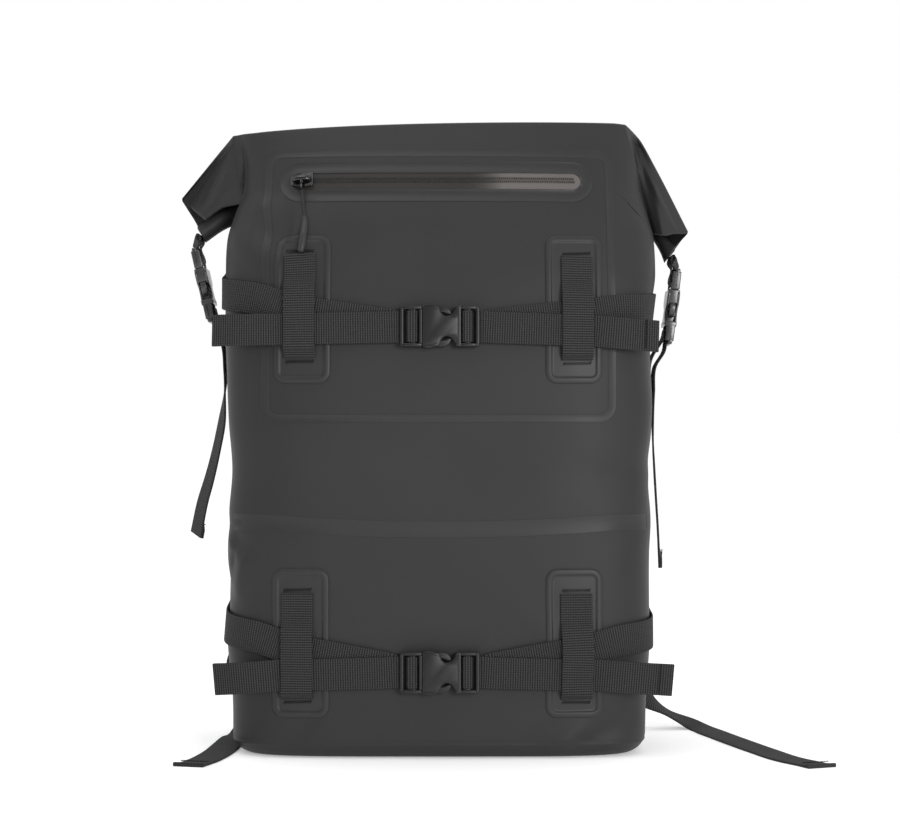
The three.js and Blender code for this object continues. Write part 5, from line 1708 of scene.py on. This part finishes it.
def stitch_row(points: Array, across: Array, at: float, rise: float, width: float = 21.0) -> Surface:
    """Row of short raised stitches across a strap, at a distance along it.

    Args:
        points: line of the strap.
        across: directions across it.
        at: distance along it.
        rise: height of its face.
        width: length of the row.

    Returns:
        the stitches.
    """
    line, level = resample(points, 1.0, (across,))
    level, out = frames_along(line, unit(level))
    i = min(int(at), len(line) - 1)
    stitches = []
    for place in np.arange(-width / 2, width / 2, 2.6):
        start = line[i] + level[i] * place + out[i] * (rise - 0.15)
        end = start + level[i] * 2.0
        middle = (start + end) / 2 + out[i] * 0.25
        thread = np.array([start, middle, end])
        stitches.append(tube(thread, np.array([0.32, 0.42, 0.32]), sides=6, ends=0.8))
    return darkened(joined(stitches))


def darkened(surface: Surface) -> Surface:
    """The surface with its flat map in the furrow between two ribs, where webbing is darkest."""
    return Surface(surface.points, surface.faces, np.zeros_like(surface.flat) + FURROW)


def bar_tack(middle: Array, across: Array, up: Array, out: Array, width: float = 22.0) -> Surface:
    """Dense zigzag of thread over a sewn place.

    Args:
        middle: its middle.
        across: direction of its length.
        up: direction of its stitches.
        out: direction off the strap.
        width: its length.

    Returns:
        the thread.
    """
    count = 26
    t = np.arange(count)
    side = (t / (count - 1) - 0.5) * width
    rise = np.where(t % 2 == 0, -1.1, 1.1)
    line = middle + side[:, None] * across + rise[:, None] * up + 0.25 * out
    return darkened(tube(line, np.full(count, 0.36), sides=6))


# Steps of a front strap that lie in the slots on both sides of a buckle's bar.
BAR_STEPS = ((48, 51), (56, 59))
STRAP_ROWS = {
    "upper_left": (-1, 0.664, 0.689, 0.71, 0.73, 0.744, 0.6605, 0.6598, -0.525),
    "upper_right": (1, 0.664, 0.682, 0.691, 0.701, 0.705, 0.6575, 0.6505, 0.503),
    "lower_left": (-1, 0.134, 0.167, 0.189, 0.21, 0.222, 0.13, 0.1215, -0.52),
    "lower_right": (1, 0.134, 0.165, 0.183, 0.1955, 0.203, 0.13, 0.1207, 0.535),
}


@dataclass(frozen=True)
class FrontStraps:
    """The four compression straps and the upright loops that they pass under."""

    buckle_half: float = 31
    settle: float = 10

    def build(self) -> None:
        """Makes every strap and loop of the front."""
        for name, row in STRAP_ROWS.items():
            node = "compression_strap_" + name
            hemmed_strap("strap_" + name, node, self.strap_steps(row), painted_shade_steps=BAR_STEPS)
        for name, row in LOOP_ROWS.items():
            self.loop(name, row)

    def seat(self, z: float) -> tuple[Array, Array, Array]:
        """Middle of a front buckle with its upward and outward directions."""
        _, up, out = FORM.frame_at(np.array(0.0), np.array(z))
        return FORM.off(0.0, z, np.array(SEWN_STAND)), up, out

    def sewn_height(self, row: tuple, turn: float) -> float:
        """Height of the sewn strap at a turn.

        Args:
            row: the strap's shares.
            turn: turn round the bag.

        Returns:
            the height.
        """
        knots = np.array([0.1, 0.37, 0.5, 1.0, 1.33])
        at = np.array(abs(turn) / (np.pi / 2))
        return float(FORM.high(hermite(knots, np.array(row[1:6]), at)))

    def strap_steps(self, row: tuple) -> list:
        """Steps of a strap: from behind round the side and the front, round the bar, and back as a tail.

        Args:
            row: the strap's shares.

        Returns:
            pairs of a point and its direction across.
        """
        side, buckle, tail, tip, tip_x = row[0], row[1], row[6], row[7], row[8]
        buckle_z = FORM.high(buckle)
        steps = []
        for share in np.linspace(1.33, 0.43, 34):
            turn = side * share * np.pi / 2
            on_side = smooth_share(np.array((share - 0.55) / 0.2))
            stand = SEWN_STAND + on_side * (2.0 - SEWN_STAND)
            steps.append(self.level_step(turn, self.sewn_height(row, turn), stand))
        for x in np.linspace(FORM.along(0.33), self.buckle_half + self.settle, 12):
            turn = float(FORM.turn_at(side * x, buckle_z))
            steps.append(self.level_step(turn, self.sewn_height(row, turn), SEWN_STAND))
        middle, up, out = self.seat(buckle_z)
        for inwards, rise in LADDER_TURN:
            steps.append((middle + out * rise + [side * (self.buckle_half - inwards), 0, 0], up))
        for x in np.linspace(self.buckle_half + 1.2 * self.settle, FORM.along(0.36), 12):
            share = (x - self.buckle_half) / (FORM.along(0.36) - self.buckle_half)
            z = buckle_z + (FORM.high(tail) - buckle_z) * share
            steps.append(self.level_step(float(FORM.turn_at(side * x, z)), z, TAIL_STAND))
        leave, up = steps[-1]
        end = np.array([FORM.along(tip_x), leave[1] + FORM.deep(0.045), FORM.high(tip)])
        for share in np.linspace(0.15, 1, 7):
            point = leave + (end - leave) * share
            bow = FORM.deep(0.012) * math.sin(math.pi * share)
            point[1] = leave[1] + (end[1] - leave[1]) * share**2 - bow
            steps.append((point, up))
        return steps

    def level_step(self, turn: float, z: float, stand: float) -> tuple[Array, Array]:
        """Place off the wall and the upward direction there."""
        _, up, _ = FORM.frame_at(np.array(turn), np.array(z))
        return FORM.off(turn, z, np.array(stand)), up

    def loop(self, name: str, row: tuple) -> None:
        """Makes one upright loop with a bar tack past each end.

        Args:
            name: its name.
            row: its shares of the bag.
        """
        across, foot, top, start, stop = row[:5]
        low, high, foot, top = (FORM.high(v) for v in (start, stop, foot, top))
        ramp, sewn = 7.5, 2.2
        knots = [
            (foot, sewn), (low - 1, sewn + 0.6), (low + 0.2 * ramp, 6.0), (low + 0.5 * ramp, 6.6),
            ((low + high) / 2, 7.0), (high - 0.3 * ramp, 6.6), (high + 0.4 * ramp, 5.6),
            (high + ramp, sewn + 1), (high + 1.5 * ramp, sewn), (top, sewn),
        ]
        heights, stands = np.array(knots).T
        z = np.linspace(foot, top, 60)
        stand = steady(heights, stands, z)[:, 0]
        x = np.full(60, FORM.along(across))
        turns = FORM.turn_at(x, z)
        level, _, _ = FORM.frame_at(turns, z)
        points = FORM.off(turns, z, stand)
        tacks = []
        for height in (foot - 2.6, top + 2.6):
            turn = FORM.turn_at(x[0], height)
            side, up, out = FORM.frame_at(turn, np.array(height))
            tacks.append(bar_tack(FORM.off(turn, height, np.array(0.95)), side, up, out))
        steps = list(zip(points, level))
        hemmed_strap("loop_" + name, "strap_loop_" + name, steps, hem=0, extras=tuple(tacks))


Outline = list[tuple[float, float]]


@dataclass(frozen=True)
class Slab:
    """Flat moulded shape with rounded edges: an outline, its holes, and its lowest and highest level."""

    outline: Outline
    low: float
    top: float
    holes: tuple[Outline, ...] = ()
    bevel: float = 0.5

    def mesh(self) -> bpy.types.Mesh:
        """The shape as a mesh in millimetres, made with a filled and bevelled curve.

        Returns:
            the surface.
        """
        curve = bpy.data.curves.new("slab", "CURVE")
        curve.dimensions = "2D"
        curve.fill_mode = "BOTH"
        curve.extrude = (self.top - self.low) / 2 - self.bevel
        curve.bevel_depth = self.bevel
        curve.bevel_resolution = 2
        curve.offset = -self.bevel
        for loop in (self.outline, *self.holes):
            spline = curve.splines.new("POLY")
            spline.points.add(len(loop) - 1)
            spline.points.foreach_set("co", np.array([(x, y, 0, 1) for x, y in loop], np.float32).ravel())
            spline.use_cyclic_u = True
        holder = bpy.data.objects.new("slab", curve)
        bpy.context.scene.collection.objects.link(holder)
        bpy.context.view_layer.update()
        mesh = bpy.data.meshes.new_from_object(holder.evaluated_get(bpy.context.evaluated_depsgraph_get()))
        mesh.transform(Matrix.Translation((0, 0, (self.low + self.top) / 2)))
        bpy.data.objects.remove(holder)
        bpy.data.curves.remove(curve)
        return mesh


def rounded_box(x0: float, y0: float, x1: float, y1: float, radius: float, steps: int = 5) -> Outline:
    """Rectangle with rounded corners.

    Args:
        x0: left.
        y0: low.
        x1: right.
        y1: high.
        radius: of the corners.
        steps: on each corner.

    Returns:
        its outline.
    """
    radius = min(radius, abs(x1 - x0) / 2 - 1e-3, abs(y1 - y0) / 2 - 1e-3)
    left, right, low, high = x0 + radius, x1 - radius, y0 + radius, y1 - radius
    corners = ((right, high, 0), (left, high, 1), (left, low, 2), (right, low, 3))
    points = []
    for x, y, quarter in corners:
        for i in range(steps + 1):
            angle = (quarter + i / steps) * math.pi / 2
            points.append((x + radius * math.cos(angle), y + radius * math.sin(angle)))
    return points


def softened(outline: Outline, rounds: int = 2) -> Outline:
    """Outline whose corners are cut again and again until they are round.

    Args:
        outline: the outline.
        rounds: how often each corner is cut.

    Returns:
        the softer outline.
    """
    points = np.array(outline, float)
    for _ in range(rounds):
        after = np.roll(points, -1, axis=0)
        points = np.stack([0.8 * points + 0.2 * after, 0.2 * points + 0.8 * after], axis=1).reshape(-1, 2)
    return [tuple(point) for point in points]


def mirrored(outline: Outline) -> Outline:
    """Outline on the other side of the first axis."""
    return [(x, -y) for x, y in reversed(outline)]


def moulded(
    name: str, node: str, slabs: list[Slab], seat: Matrix, finish: str = "buckle_plastic"
) -> bpy.types.Object:
    """Joins slabs into one piece and moves it from its drawing to its seat.

    Args:
        name: the piece's name.
        node: the node that it stands for.
        slabs: its shapes.
        seat: the place and turn of the drawing, in millimetres.
        finish: name of its finish.

    Returns:
        The piece.
    """
    work = bmesh.new()
    for slab in slabs:
        mesh = slab.mesh()
        work.from_mesh(mesh)
        bpy.data.meshes.remove(mesh)
    bmesh.ops.remove_doubles(work, verts=work.verts, dist=1e-4)
    bmesh.ops.dissolve_degenerate(work, edges=work.edges, dist=1e-4)
    bmesh.ops.transform(work, matrix=Matrix.Scale(MM, 4) @ seat, verts=work.verts)
    bmesh.ops.triangulate(work, faces=[f for f in work.faces if len(f.verts) > 4])
    bmesh.ops.recalc_face_normals(work, faces=work.faces)
    mesh = bpy.data.meshes.new(name)
    work.to_mesh(mesh)
    work.free()
    mesh.shade_smooth()
    mesh.set_sharp_from_angle(angle=math.radians(35))
    mesh.materials.append(MATERIALS[finish])
    piece = bpy.data.objects.new(name, mesh)
    bpy.context.scene.collection.objects.link(piece)
    register(piece, (node,))
    return piece


def seat_matrix(place: Array, first: Array, out: Array) -> Matrix:
    """Turn and place of a drawing whose first axis runs one way and whose third points out.

    Args:
        place: its origin.
        first: direction of its first axis.
        out: direction of its third.

    Returns:
        the matrix.
    """
    third = unit(np.asarray(out, float))
    run = np.asarray(first, float)
    run = unit(run - np.dot(run, third) * third)
    axes = np.stack([run, np.cross(third, run), third], axis=1)
    return Matrix.Translation(Vector(place)) @ Matrix(axes.tolist()).to_4x4()


@dataclass(frozen=True)
class Buckle:
    """Side-release buckle, drawn flat with its middle at 0 and the prongs' ladder at -length/2."""

    length: float = 62
    width: float = 32
    ladder: float = 15.3
    shoulder: float = 2
    base: float = -1.6
    top: float = 8.4
    bar_low: float = 3.2
    bar_top: float = 5.6
    slot: float = 26.4
    rail_low: float = 0.2
    rail_top: float = 7.4

    @property
    def mouth(self) -> float:
        """Where the socket's mouth lies."""
        return -self.length / 2 + self.ladder + self.shoulder + GAP

    @property
    def socket(self) -> float:
        """Length of the socket's housing."""
        return self.length - 2 * self.ladder - self.shoulder - GAP

    def ladder_slabs(self, sign: int, inner: float) -> list[Slab]:
        """Ladder at one end: two rails joined by an outer bar and a middle bar, with thicker rails.

        Args:
            sign: which end.
            inner: how far the rails reach.

        Returns:
            its slabs.
        """
        end, w, s = sign * self.length / 2, self.width / 2, self.slot / 2

        def box(a: float, b: float, y0: float, y1: float, radius: float) -> Outline:
            """Rounded box from a to b inwards from this end."""
            ends = sorted((end - sign * a, end - sign * b))
            return rounded_box(ends[0], y0, ends[1], y1, radius)

        holes = (box(3.2, 7.0, -s, s, 0.8), box(12.1, 15.3, -s, s, 0.8))
        slabs = [Slab(box(0, inner, -w, w, 2.2), self.bar_low, self.bar_top, holes, 0.7)]
        rails = [(s + 0.1, w), (-w, -s - 0.1)]
        rail = (2.6, inner, self.rail_low, self.rail_top)
        spans = (rail, (0.6, 4.0, self.bar_low - 0.8, self.bar_top + 0.8))
        for a, b, low, top in spans:
            slabs += [Slab(box(a, b, y0, y1, 1.0), low, top, (), 0.8) for y0, y1 in rails]
        slabs.append(Slab(box(0, 2.9, -w + 1, w - 1, 1.0), self.bar_low - 0.2, self.bar_top + 0.7, (), 0.8))
        return slabs

    def prongs(self) -> list[Slab]:
        """Half with the prongs: ladder, shoulder, two springing arms with heads, and a guide.

        Returns:
            its slabs.
        """
        root, w = -self.length / 2 + self.ladder, self.width / 2
        n = self.socket
        shares = (
            (0.30, 0.74), (0.38, 0.8), (0.45, 0.95), (0.55, 1.0), (0.68, 0.99), (0.8, 0.84),
            (0.86, 0.62), (0.78, 0.56), (0.6, 0.72), (0.4, 0.5),
        )
        foot = [(root + 0.2, w * 0.58), (root + 0.2, w * 0.82)]
        arm = softened([*foot, *[(root + n * a, w * b) for a, b in shares]], 2)
        low, top = 1.1, 5.7
        guide = rounded_box(root, -w * 0.22, root + n * 0.6, w * 0.22, 1.5)
        shoulder = rounded_box(root - 0.4, -w * 0.86, root + self.shoulder, w * 0.86, 0.8)
        slabs = self.ladder_slabs(-1, self.ladder + self.shoulder)
        slabs += [Slab(shape, low, top, (), 0.5) for shape in (guide, arm, mirrored(arm))]
        slabs.append(Slab(shoulder, low - 0.4, top + 1.2, (), 0.5))
        return slabs

    def housing(self, swell: float = 0.0) -> Outline:
        """Outline of the socket: full width at the mouth, scalloped at the heads, flared to its ladder.

        Args:
            swell: how far it is drawn in.

        Returns:
            the outline.
        """
        a, w, n = self.mouth, self.width / 2 - swell, self.socket
        shares = (
            (0.36, 1), (0.42, 0.97), (0.47, 0.8), (0.53, 0.6), (0.62, 0.5), (0.72, 0.52), (0.80, 0.62),
            (0.88, 0.82), (0.95, 0.96),
        )
        mouth = [(a + swell, w - 1.2), (a + swell + 1.2, w)]
        knots = np.array([*mouth, *[(a + n * b, w * c) for b, c in shares], (a + n - swell, w)])
        along = lengths_along(knots)
        upper = [tuple(p) for p in curve_through(along, knots, np.linspace(0, along[-1], 60))]
        return [*upper, *[(x, -y) for x, y in reversed(upper)]]

    def socket_slabs(self) -> list[Slab]:
        """Half with the socket: two scalloped plates over the prongs, a raised panel, and its ladder.

        Returns:
            its slabs.
        """
        a, w, n = self.mouth, self.width / 2, self.socket
        layers = ((6.3, self.top - 0.4), (self.base, 0.5))
        plates = [Slab(self.housing(), low, top, (), 0.7) for low, top in layers]
        panel = [(x, y * 0.96) for x, y in self.housing(1.4)]
        plates.append(Slab(panel, 7.2, self.top, (), 0.4))
        end = rounded_box(a + n - 3.2, -w, a + n + 1.0, w, 0.9)
        plates.append(Slab(end, self.base, self.top - 0.2, (), 0.7))
        lip = rounded_box(a, w * 0.9, a + n * 0.38, w, 0.7)
        plates += [Slab(shape, self.base, self.top - 0.4, (), 0.5) for shape in (lip, mirrored(lip))]
        core = rounded_box(a + n * 0.62, -w * 0.46, a + n, w * 0.46, 1.0)
        plates.append(Slab(core, 0.2, 6.6, (), 0.3))
        return plates + self.ladder_slabs(1, self.ladder + 1)

    def build(self, name: str, node: str, seat: Matrix, finish: str = "buckle_plastic") -> None:
        """Makes both halves in place.

        Args:
            name: start of their names.
            node: their nodes, with a star for the half.
            seat: their turn and place.
            finish: name of their finish.
        """
        prongs, socket = node.replace("*", "prongs"), node.replace("*", "socket")
        moulded(name + "_prongs", prongs, self.prongs(), seat, finish)
        moulded(name + "_socket", socket, self.socket_slabs(), seat, finish)


def share_place(x: float, y: float, z: float) -> Array:
    """A point from shares of the bag's width, its depth and the ridge's height."""
    return np.array([FORM.along(x), FORM.deep(y), FORM.high(z)])


@dataclass(frozen=True)
class Flank:
    """One side: the ear's loop, the hanging buckle and the side strap with its loose tail."""

    side: str
    ear: tuple[float, float, float]
    top: tuple[float, float, float]
    low: tuple[float, float, float]
    foot: tuple[float, float]
    tail: tuple[tuple[float, float, float, float], ...]

    @property
    def sign(self) -> int:
        """-1 on the left and 1 on the right."""
        return SIDES[self.side]

    def axes(self) -> tuple[Array, Array, Array]:
        """Middle of the buckle, the direction down it and the direction out of its face.

        Returns:
            the middle and the two directions.
        """
        top = share_place(*self.top)
        down = unit(share_place(*self.low) - top)
        out = unit(np.cross([0, 1, 0], down))
        return top + down * 31, down, out * np.sign(out[0] * self.sign)

    def build(self) -> None:
        """Makes the pieces of this side."""
        seat = seat_matrix(*self.axes())
        # Their lighter plastic is a painted glint.
        Buckle().build("side_" + self.side, "side_buckle_*_" + self.side, seat, "side_plastic_painted_glint")
        self.loop()
        self.strap()

    def loop(self) -> None:
        """Loop of webbing from the ear through the buckle's upper ladder."""
        middle, down, out = self.axes()

        def at(inwards: float, rise: float) -> Array:
            """Place in the buckle's own directions."""
            return middle + down * (inwards - 31) + out * rise

        sweep = unit(np.array([self.sign * 0.75, 0, -0.66]))
        root = share_place(*self.ear) + sweep * 2.7
        low, top = root - out, root + 1.2 * out
        points = [low, low + (at(-3, 0) - low) * 0.5, *[at(*turn) for turn in LADDER_TURN[:-1]], at(-4, 2.3)]
        points += [at(-4, 2.3) + (top - at(-4, 2.3)) * 0.55, top]
        widths = np.ones(len(points))
        widths[[0, 1, -2, -1]] = (0.45, 0.75, 0.75, 0.45)
        across = np.tile([0.0, 1.0, 0.0], (len(points), 1))
        across[:2, 0], across[-3:, 0] = -0.3 * self.sign, 0.35 * self.sign
        body = ribbon(np.array(points), unit(across), widths=widths)
        node = "ear_loop_" + self.side
        make_piece("ear_webbing_" + self.side, body, "webbing", (node,), sharp=50)

    def strap(self) -> None:
        """Strap sewn to the side, up through the buckle's lower ladder, and hanging down."""
        middle, down, out = self.axes()
        across = np.array([0.0, 1.0, 0.0])
        steps = []
        for share in reversed(self.foot):
            turn = self.sign * np.pi / 2
            steps.append((FORM.off(turn, FORM.high(share), np.array(1.4)), across))
        for inwards, rise in LADDER_TURN[1:]:
            steps.append((middle + down * (31 - inwards) + out * rise, across))
        for x, y, z, turned in self.tail:
            steps.append((share_place(x, y, z), unit(np.array([turned * self.sign, 1, 0]))))
        hemmed_strap("hanging_strap_" + self.side, "side_strap_" + self.side, steps)


FLANKS = (
    Flank(
        "left", (-0.576, 0.06, 0.823), (-0.576, 0.05, 0.7985), (-0.536, 0.04, 0.6805), (0.645, 0.61),
        (
            (-0.52, 0.02, 0.638, 0), (-0.5145, 0, 0.598, 0), (-0.516, -0.02, 0.56, 0.12),
            (-0.5215, -0.02, 0.522, 0.3), (-0.536, -0.01, 0.473, 0.36), (-0.554, 0, 0.425, 0.42),
            (-0.57, 0.02, 0.39, 0.46), (-0.587, 0.04, 0.337, 0.5),
        ),
    ),
    Flank(
        "right", (0.554, 0.06, 0.789), (0.556, 0.05, 0.7645), (0.535, 0.04, 0.6465), (0.612, 0.58),
        (
            (0.514, 0.02, 0.605, 0), (0.51, 0, 0.565, 0), (0.5085, -0.02, 0.53, 0.04),
            (0.509, -0.02, 0.49, 0.08), (0.513, -0.01, 0.44, 0.1), (0.5175, 0, 0.393, 0.1),
            (0.523, 0.02, 0.34, 0.1), (0.527, 0.04, 0.288, 0.1),
        ),
    ),
)


@dataclass(frozen=True)
class Harness:
    """One side of the back: padded strap, tab, adjuster and lower strap with its tail on the floor."""

    side: str
    tail: tuple[tuple[float, float, float], ...]
    pad_width: float = 62
    pad_foam: float = 9.6
    pad_swell: float = 2.2
    tab_top: float = 33.5
    bar_middle: float = 4.4

    @property
    def sign(self) -> int:
        """-1 on the left and 1 on the right."""
        return SIDES[self.side]

    def point(self, x: float, y: float, z: float) -> Array:
        """A point in shares, mirrored to this side."""
        return share_place(x * self.sign, y, z)

    def axes(self) -> tuple[Array, Array, Array, Array]:
        """Lower end of the adjuster, and the directions up it, across it and out of it.

        Returns:
            the place and the three directions.
        """
        low = self.point(0.36, 0.578, 0.262)
        up = unit(self.point(0.35, 0.592, 0.308) - low)
        across = unit(np.array([1.0, 0, 0]) - up[0] * up)
        out = np.cross(across, up)
        return low, up, across, out * np.sign(out[1])

    def build(self) -> None:
        """Makes the pieces of this side."""
        self.pad()
        self.adjuster()
        self.tab()
        self.lower()

    def pad_line(self) -> tuple[Array, Array]:
        """Line and half-widths of the padded strap.

        Returns:
            the line and its half-widths.
        """
        low, up, _, out = self.axes()
        points = []
        for x, z, lift in ((0.125, 0.8, 3), (0.14, 0.76, 6)):
            turn = FORM.back_turn(np.array(self.sign * FORM.along(x)), np.array(FORM.high(z)))
            points.append(FORM.off(turn, FORM.high(z), np.array(6.3 + lift * GAP)))
        points += [self.point(*row) for row in PAD_ROUTE]
        reaches = (self.tab_top + 22, self.tab_top + 0.6)
        points += [low + up * reach + out * self.bar_middle for reach in reaches]
        line = resample(np.array(points), 2.4)[0]
        share = np.linspace(0, 1, len(line))
        half = self.pad_width / 2 * (1 - 0.45 * smooth_share((share - 0.66) / 0.34))
        return line, half

    def pad(self) -> None:
        """Padded strap: swollen foam between two faces, with a sewn channel and a bound edge."""
        line, half = self.pad_line()
        level, face = frames_along(line, np.tile([1.0, 0, 0], (len(line), 1)))
        v = np.linspace(-1, 1, 33)
        puff = (1 - np.abs(v) ** 5) ** 0.5
        seam = 1 - 0.32 * np.exp(-(((np.abs(v) - 0.8) / 0.05) ** 2))
        thick = self.pad_foam / 2 * np.maximum(puff * seam, 0.25)
        share = np.linspace(0, 1, len(line))
        ease = 0.55 + 0.45 * smooth_share(share / 0.05) * smooth_share((1 - share) / 0.07)
        section = np.zeros((len(line), 66, 2))
        section[:, :33, 0] = v * half[:, None]
        section[:, 33:, 0] = v[::-1] * half[:, None]
        section[:, :33, 1] = -thick * ease[:, None]
        section[:, 33:, 1] = thick[::-1] * ease[:, None]
        rings = line[:, None] + section[..., :1] * level[:, None] + section[..., 1:] * face[:, None]
        firm = np.zeros(rings.shape[:2])
        firm[:, np.abs(np.abs(np.concatenate([v, v])) - 0.8) < 0.04] = 1
        firm[:, np.abs(np.concatenate([v, v])) > 0.9] = 1
        firm[:5] = firm[-5:] = 1
        rings = swollen(rings, firm, self.pad_swell)
        along = np.broadcast_to(lengths_along(line)[:, None], (len(line), 66))
        flat = np.stack([section[..., 0], along], axis=-1)
        skin = grid(rings, flat, wrap_columns=True)
        caps = [end_cap(rings[i], flat[i]) for i in (0, -1)]
        edges = []
        for sign in (-1, 1):
            edge = line + sign * (half[:, None] - 0.3) * level
            edges.append(tube(edge, np.full(len(edge), 1.7), sides=10))
        surface = joined([skin, *caps, *edges])
        name = "shoulder_strap_" + self.side
        pad = make_piece("padded_strap_" + self.side, surface, "padding", (name,), sharp=60)

    def adjuster(self) -> None:
        """Ladder of two slots with an eye for the tab above it."""
        low, up, _, out = self.axes()
        slots = ((3.2, 7.0), (12.1, 15.3), (18.5, 24.5))
        holes = tuple(rounded_box(a, -13.2, b, 13.2, 0.8) for a, b in slots)
        plate = Slab(rounded_box(0, -16, 27.7, 16, 2.6), 3.2, 5.6, holes, 0.7)
        sides = ((13.3, 16), (-16, -13.3))
        rails = [Slab(rounded_box(1.4, y0, 26.2, y1, 1.0), 2.8, 6.4, (), 0.6) for y0, y1 in sides]
        lip = Slab(rounded_box(-1.2, -12, 2.4, 12, 1.0), 3.8, 6.2, (), 0.6)
        seat = seat_matrix(low, up, out)
        moulded("adjuster_" + self.side, "ladder_lock_" + self.side, [plate, *rails, lip], seat)

    def tab(self) -> None:
        """Tab of webbing from the padded strap round the adjuster's upper bar."""
        low, up, across, out = self.axes()
        bar, middle, clear = 24.5, self.bar_middle, 2.6
        path = (
            (self.tab_top, middle - 1.1), (bar + 5, middle - clear), (bar + 0.5, middle - clear),
            (bar - 1.6, middle - clear / 2), (bar - 1.6, middle + clear / 2), (bar + 0.5, middle + clear),
            (bar + 5, middle + clear), (self.tab_top, middle + 1.1),
        )
        steps = [(low + up * inwards + out * rise, across) for inwards, rise in path]
        hemmed_strap("tab_" + self.side, "shoulder_tab_" + self.side, steps, hem=0)

    def lower(self) -> None:
        """Strap from the bag's lower corner up through the adjuster and down to the floor."""
        low, up, across, out = self.axes()
        foot_z = FORM.high(0.07)
        steps = []
        for z in (foot_z - 12, foot_z):
            turn = FORM.back_turn(np.array(self.sign * FORM.along(0.395)), np.array(z))
            level, _, _ = FORM.frame_at(turn, np.array(z))
            steps.append((FORM.off(turn, z, np.array(2.2)), level * np.sign(level[0])))
        turns = [low + up * inwards + out * rise for inwards, rise in LADDER_TURN]
        steps.append((steps[1][0] + (turns[0] - steps[1][0]) * 0.55, across))
        steps += [(point, across) for point in turns]
        tail = np.array([share_place(*row) + [0, 0, WEB / 2] for row in self.tail])
        run = np.gradient(tail, axis=0)
        flat = unit(np.stack([-run[:, 1], run[:, 0], 0 * run[:, 0]], axis=1))
        share = smooth_share(np.arange(len(tail)) / 4)[:, None]
        steps += list(zip(tail, unit(across + (flat - across) * share)))
        hemmed_strap("lower_webbing_" + self.side, "lower_strap_" + self.side, steps)


PAD_ROUTE = ((0.165, 0.545, 0.705), (0.215, 0.6, 0.62), (0.265, 0.62, 0.51), (0.305, 0.615, 0.42))
HARNESSES = (
    Harness(
        "left",
        (
            (-0.42, 0.62, 0.19), (-0.478, 0.635, 0.145), (-0.508, 0.635, 0.11), (-0.486, 0.62, 0.065),
            (-0.474, 0.59, 0.022), (-0.487, 0.45, 0), (-0.5, 0.25, 0), (-0.508, 0, 0), (-0.518, -0.3, 0),
            (-0.54, -0.58, 0), (-0.565, -0.755, 0),
        ),
    ),
    Harness(
        "right",
        (
            (0.42, 0.63, 0.19), (0.46, 0.65, 0.115), (0.515, 0.66, 0.052), (0.575, 0.665, 0.024),
            (0.64, 0.65, 0.004), (0.68, 0.4, 0), (0.715, 0.1, 0), (0.758, -0.25, 0), (0.803, -0.56, 0),
            (0.838, -0.7, 0), (0.857, -0.79, 0),
        ),
    ),
)


def front_buckles() -> None:
    """Fastened buckles in the middle of the compression straps."""
    for level, share in (("upper", 0.664), ("lower", 0.134)):
        middle, _, out = FrontStraps().seat(FORM.high(share))
        seat = seat_matrix(middle, np.array([1.0, 0, 0]), out)
        Buckle().build("front_" + level, "front_buckle_*_" + level, seat)


def build_scene() -> None:
    """Makes every piece in order: camera and cord first."""
    build_finishes()
    Studio().build()
    ZipPull().build()
    Zip().build()
    BagShell().build()
    RolledTop().build()
    WeldedTrim().build()
    FrontStraps().build()
    front_buckles()
    for part in (*FLANKS, *HARNESSES):
        part.build()


def main() -> None:
    """Builds the scene."""
    logging.basicConfig(level=logging.INFO, format="%(name)s %(message)s")
    build_scene()


if __name__ == "__main__":
    main()
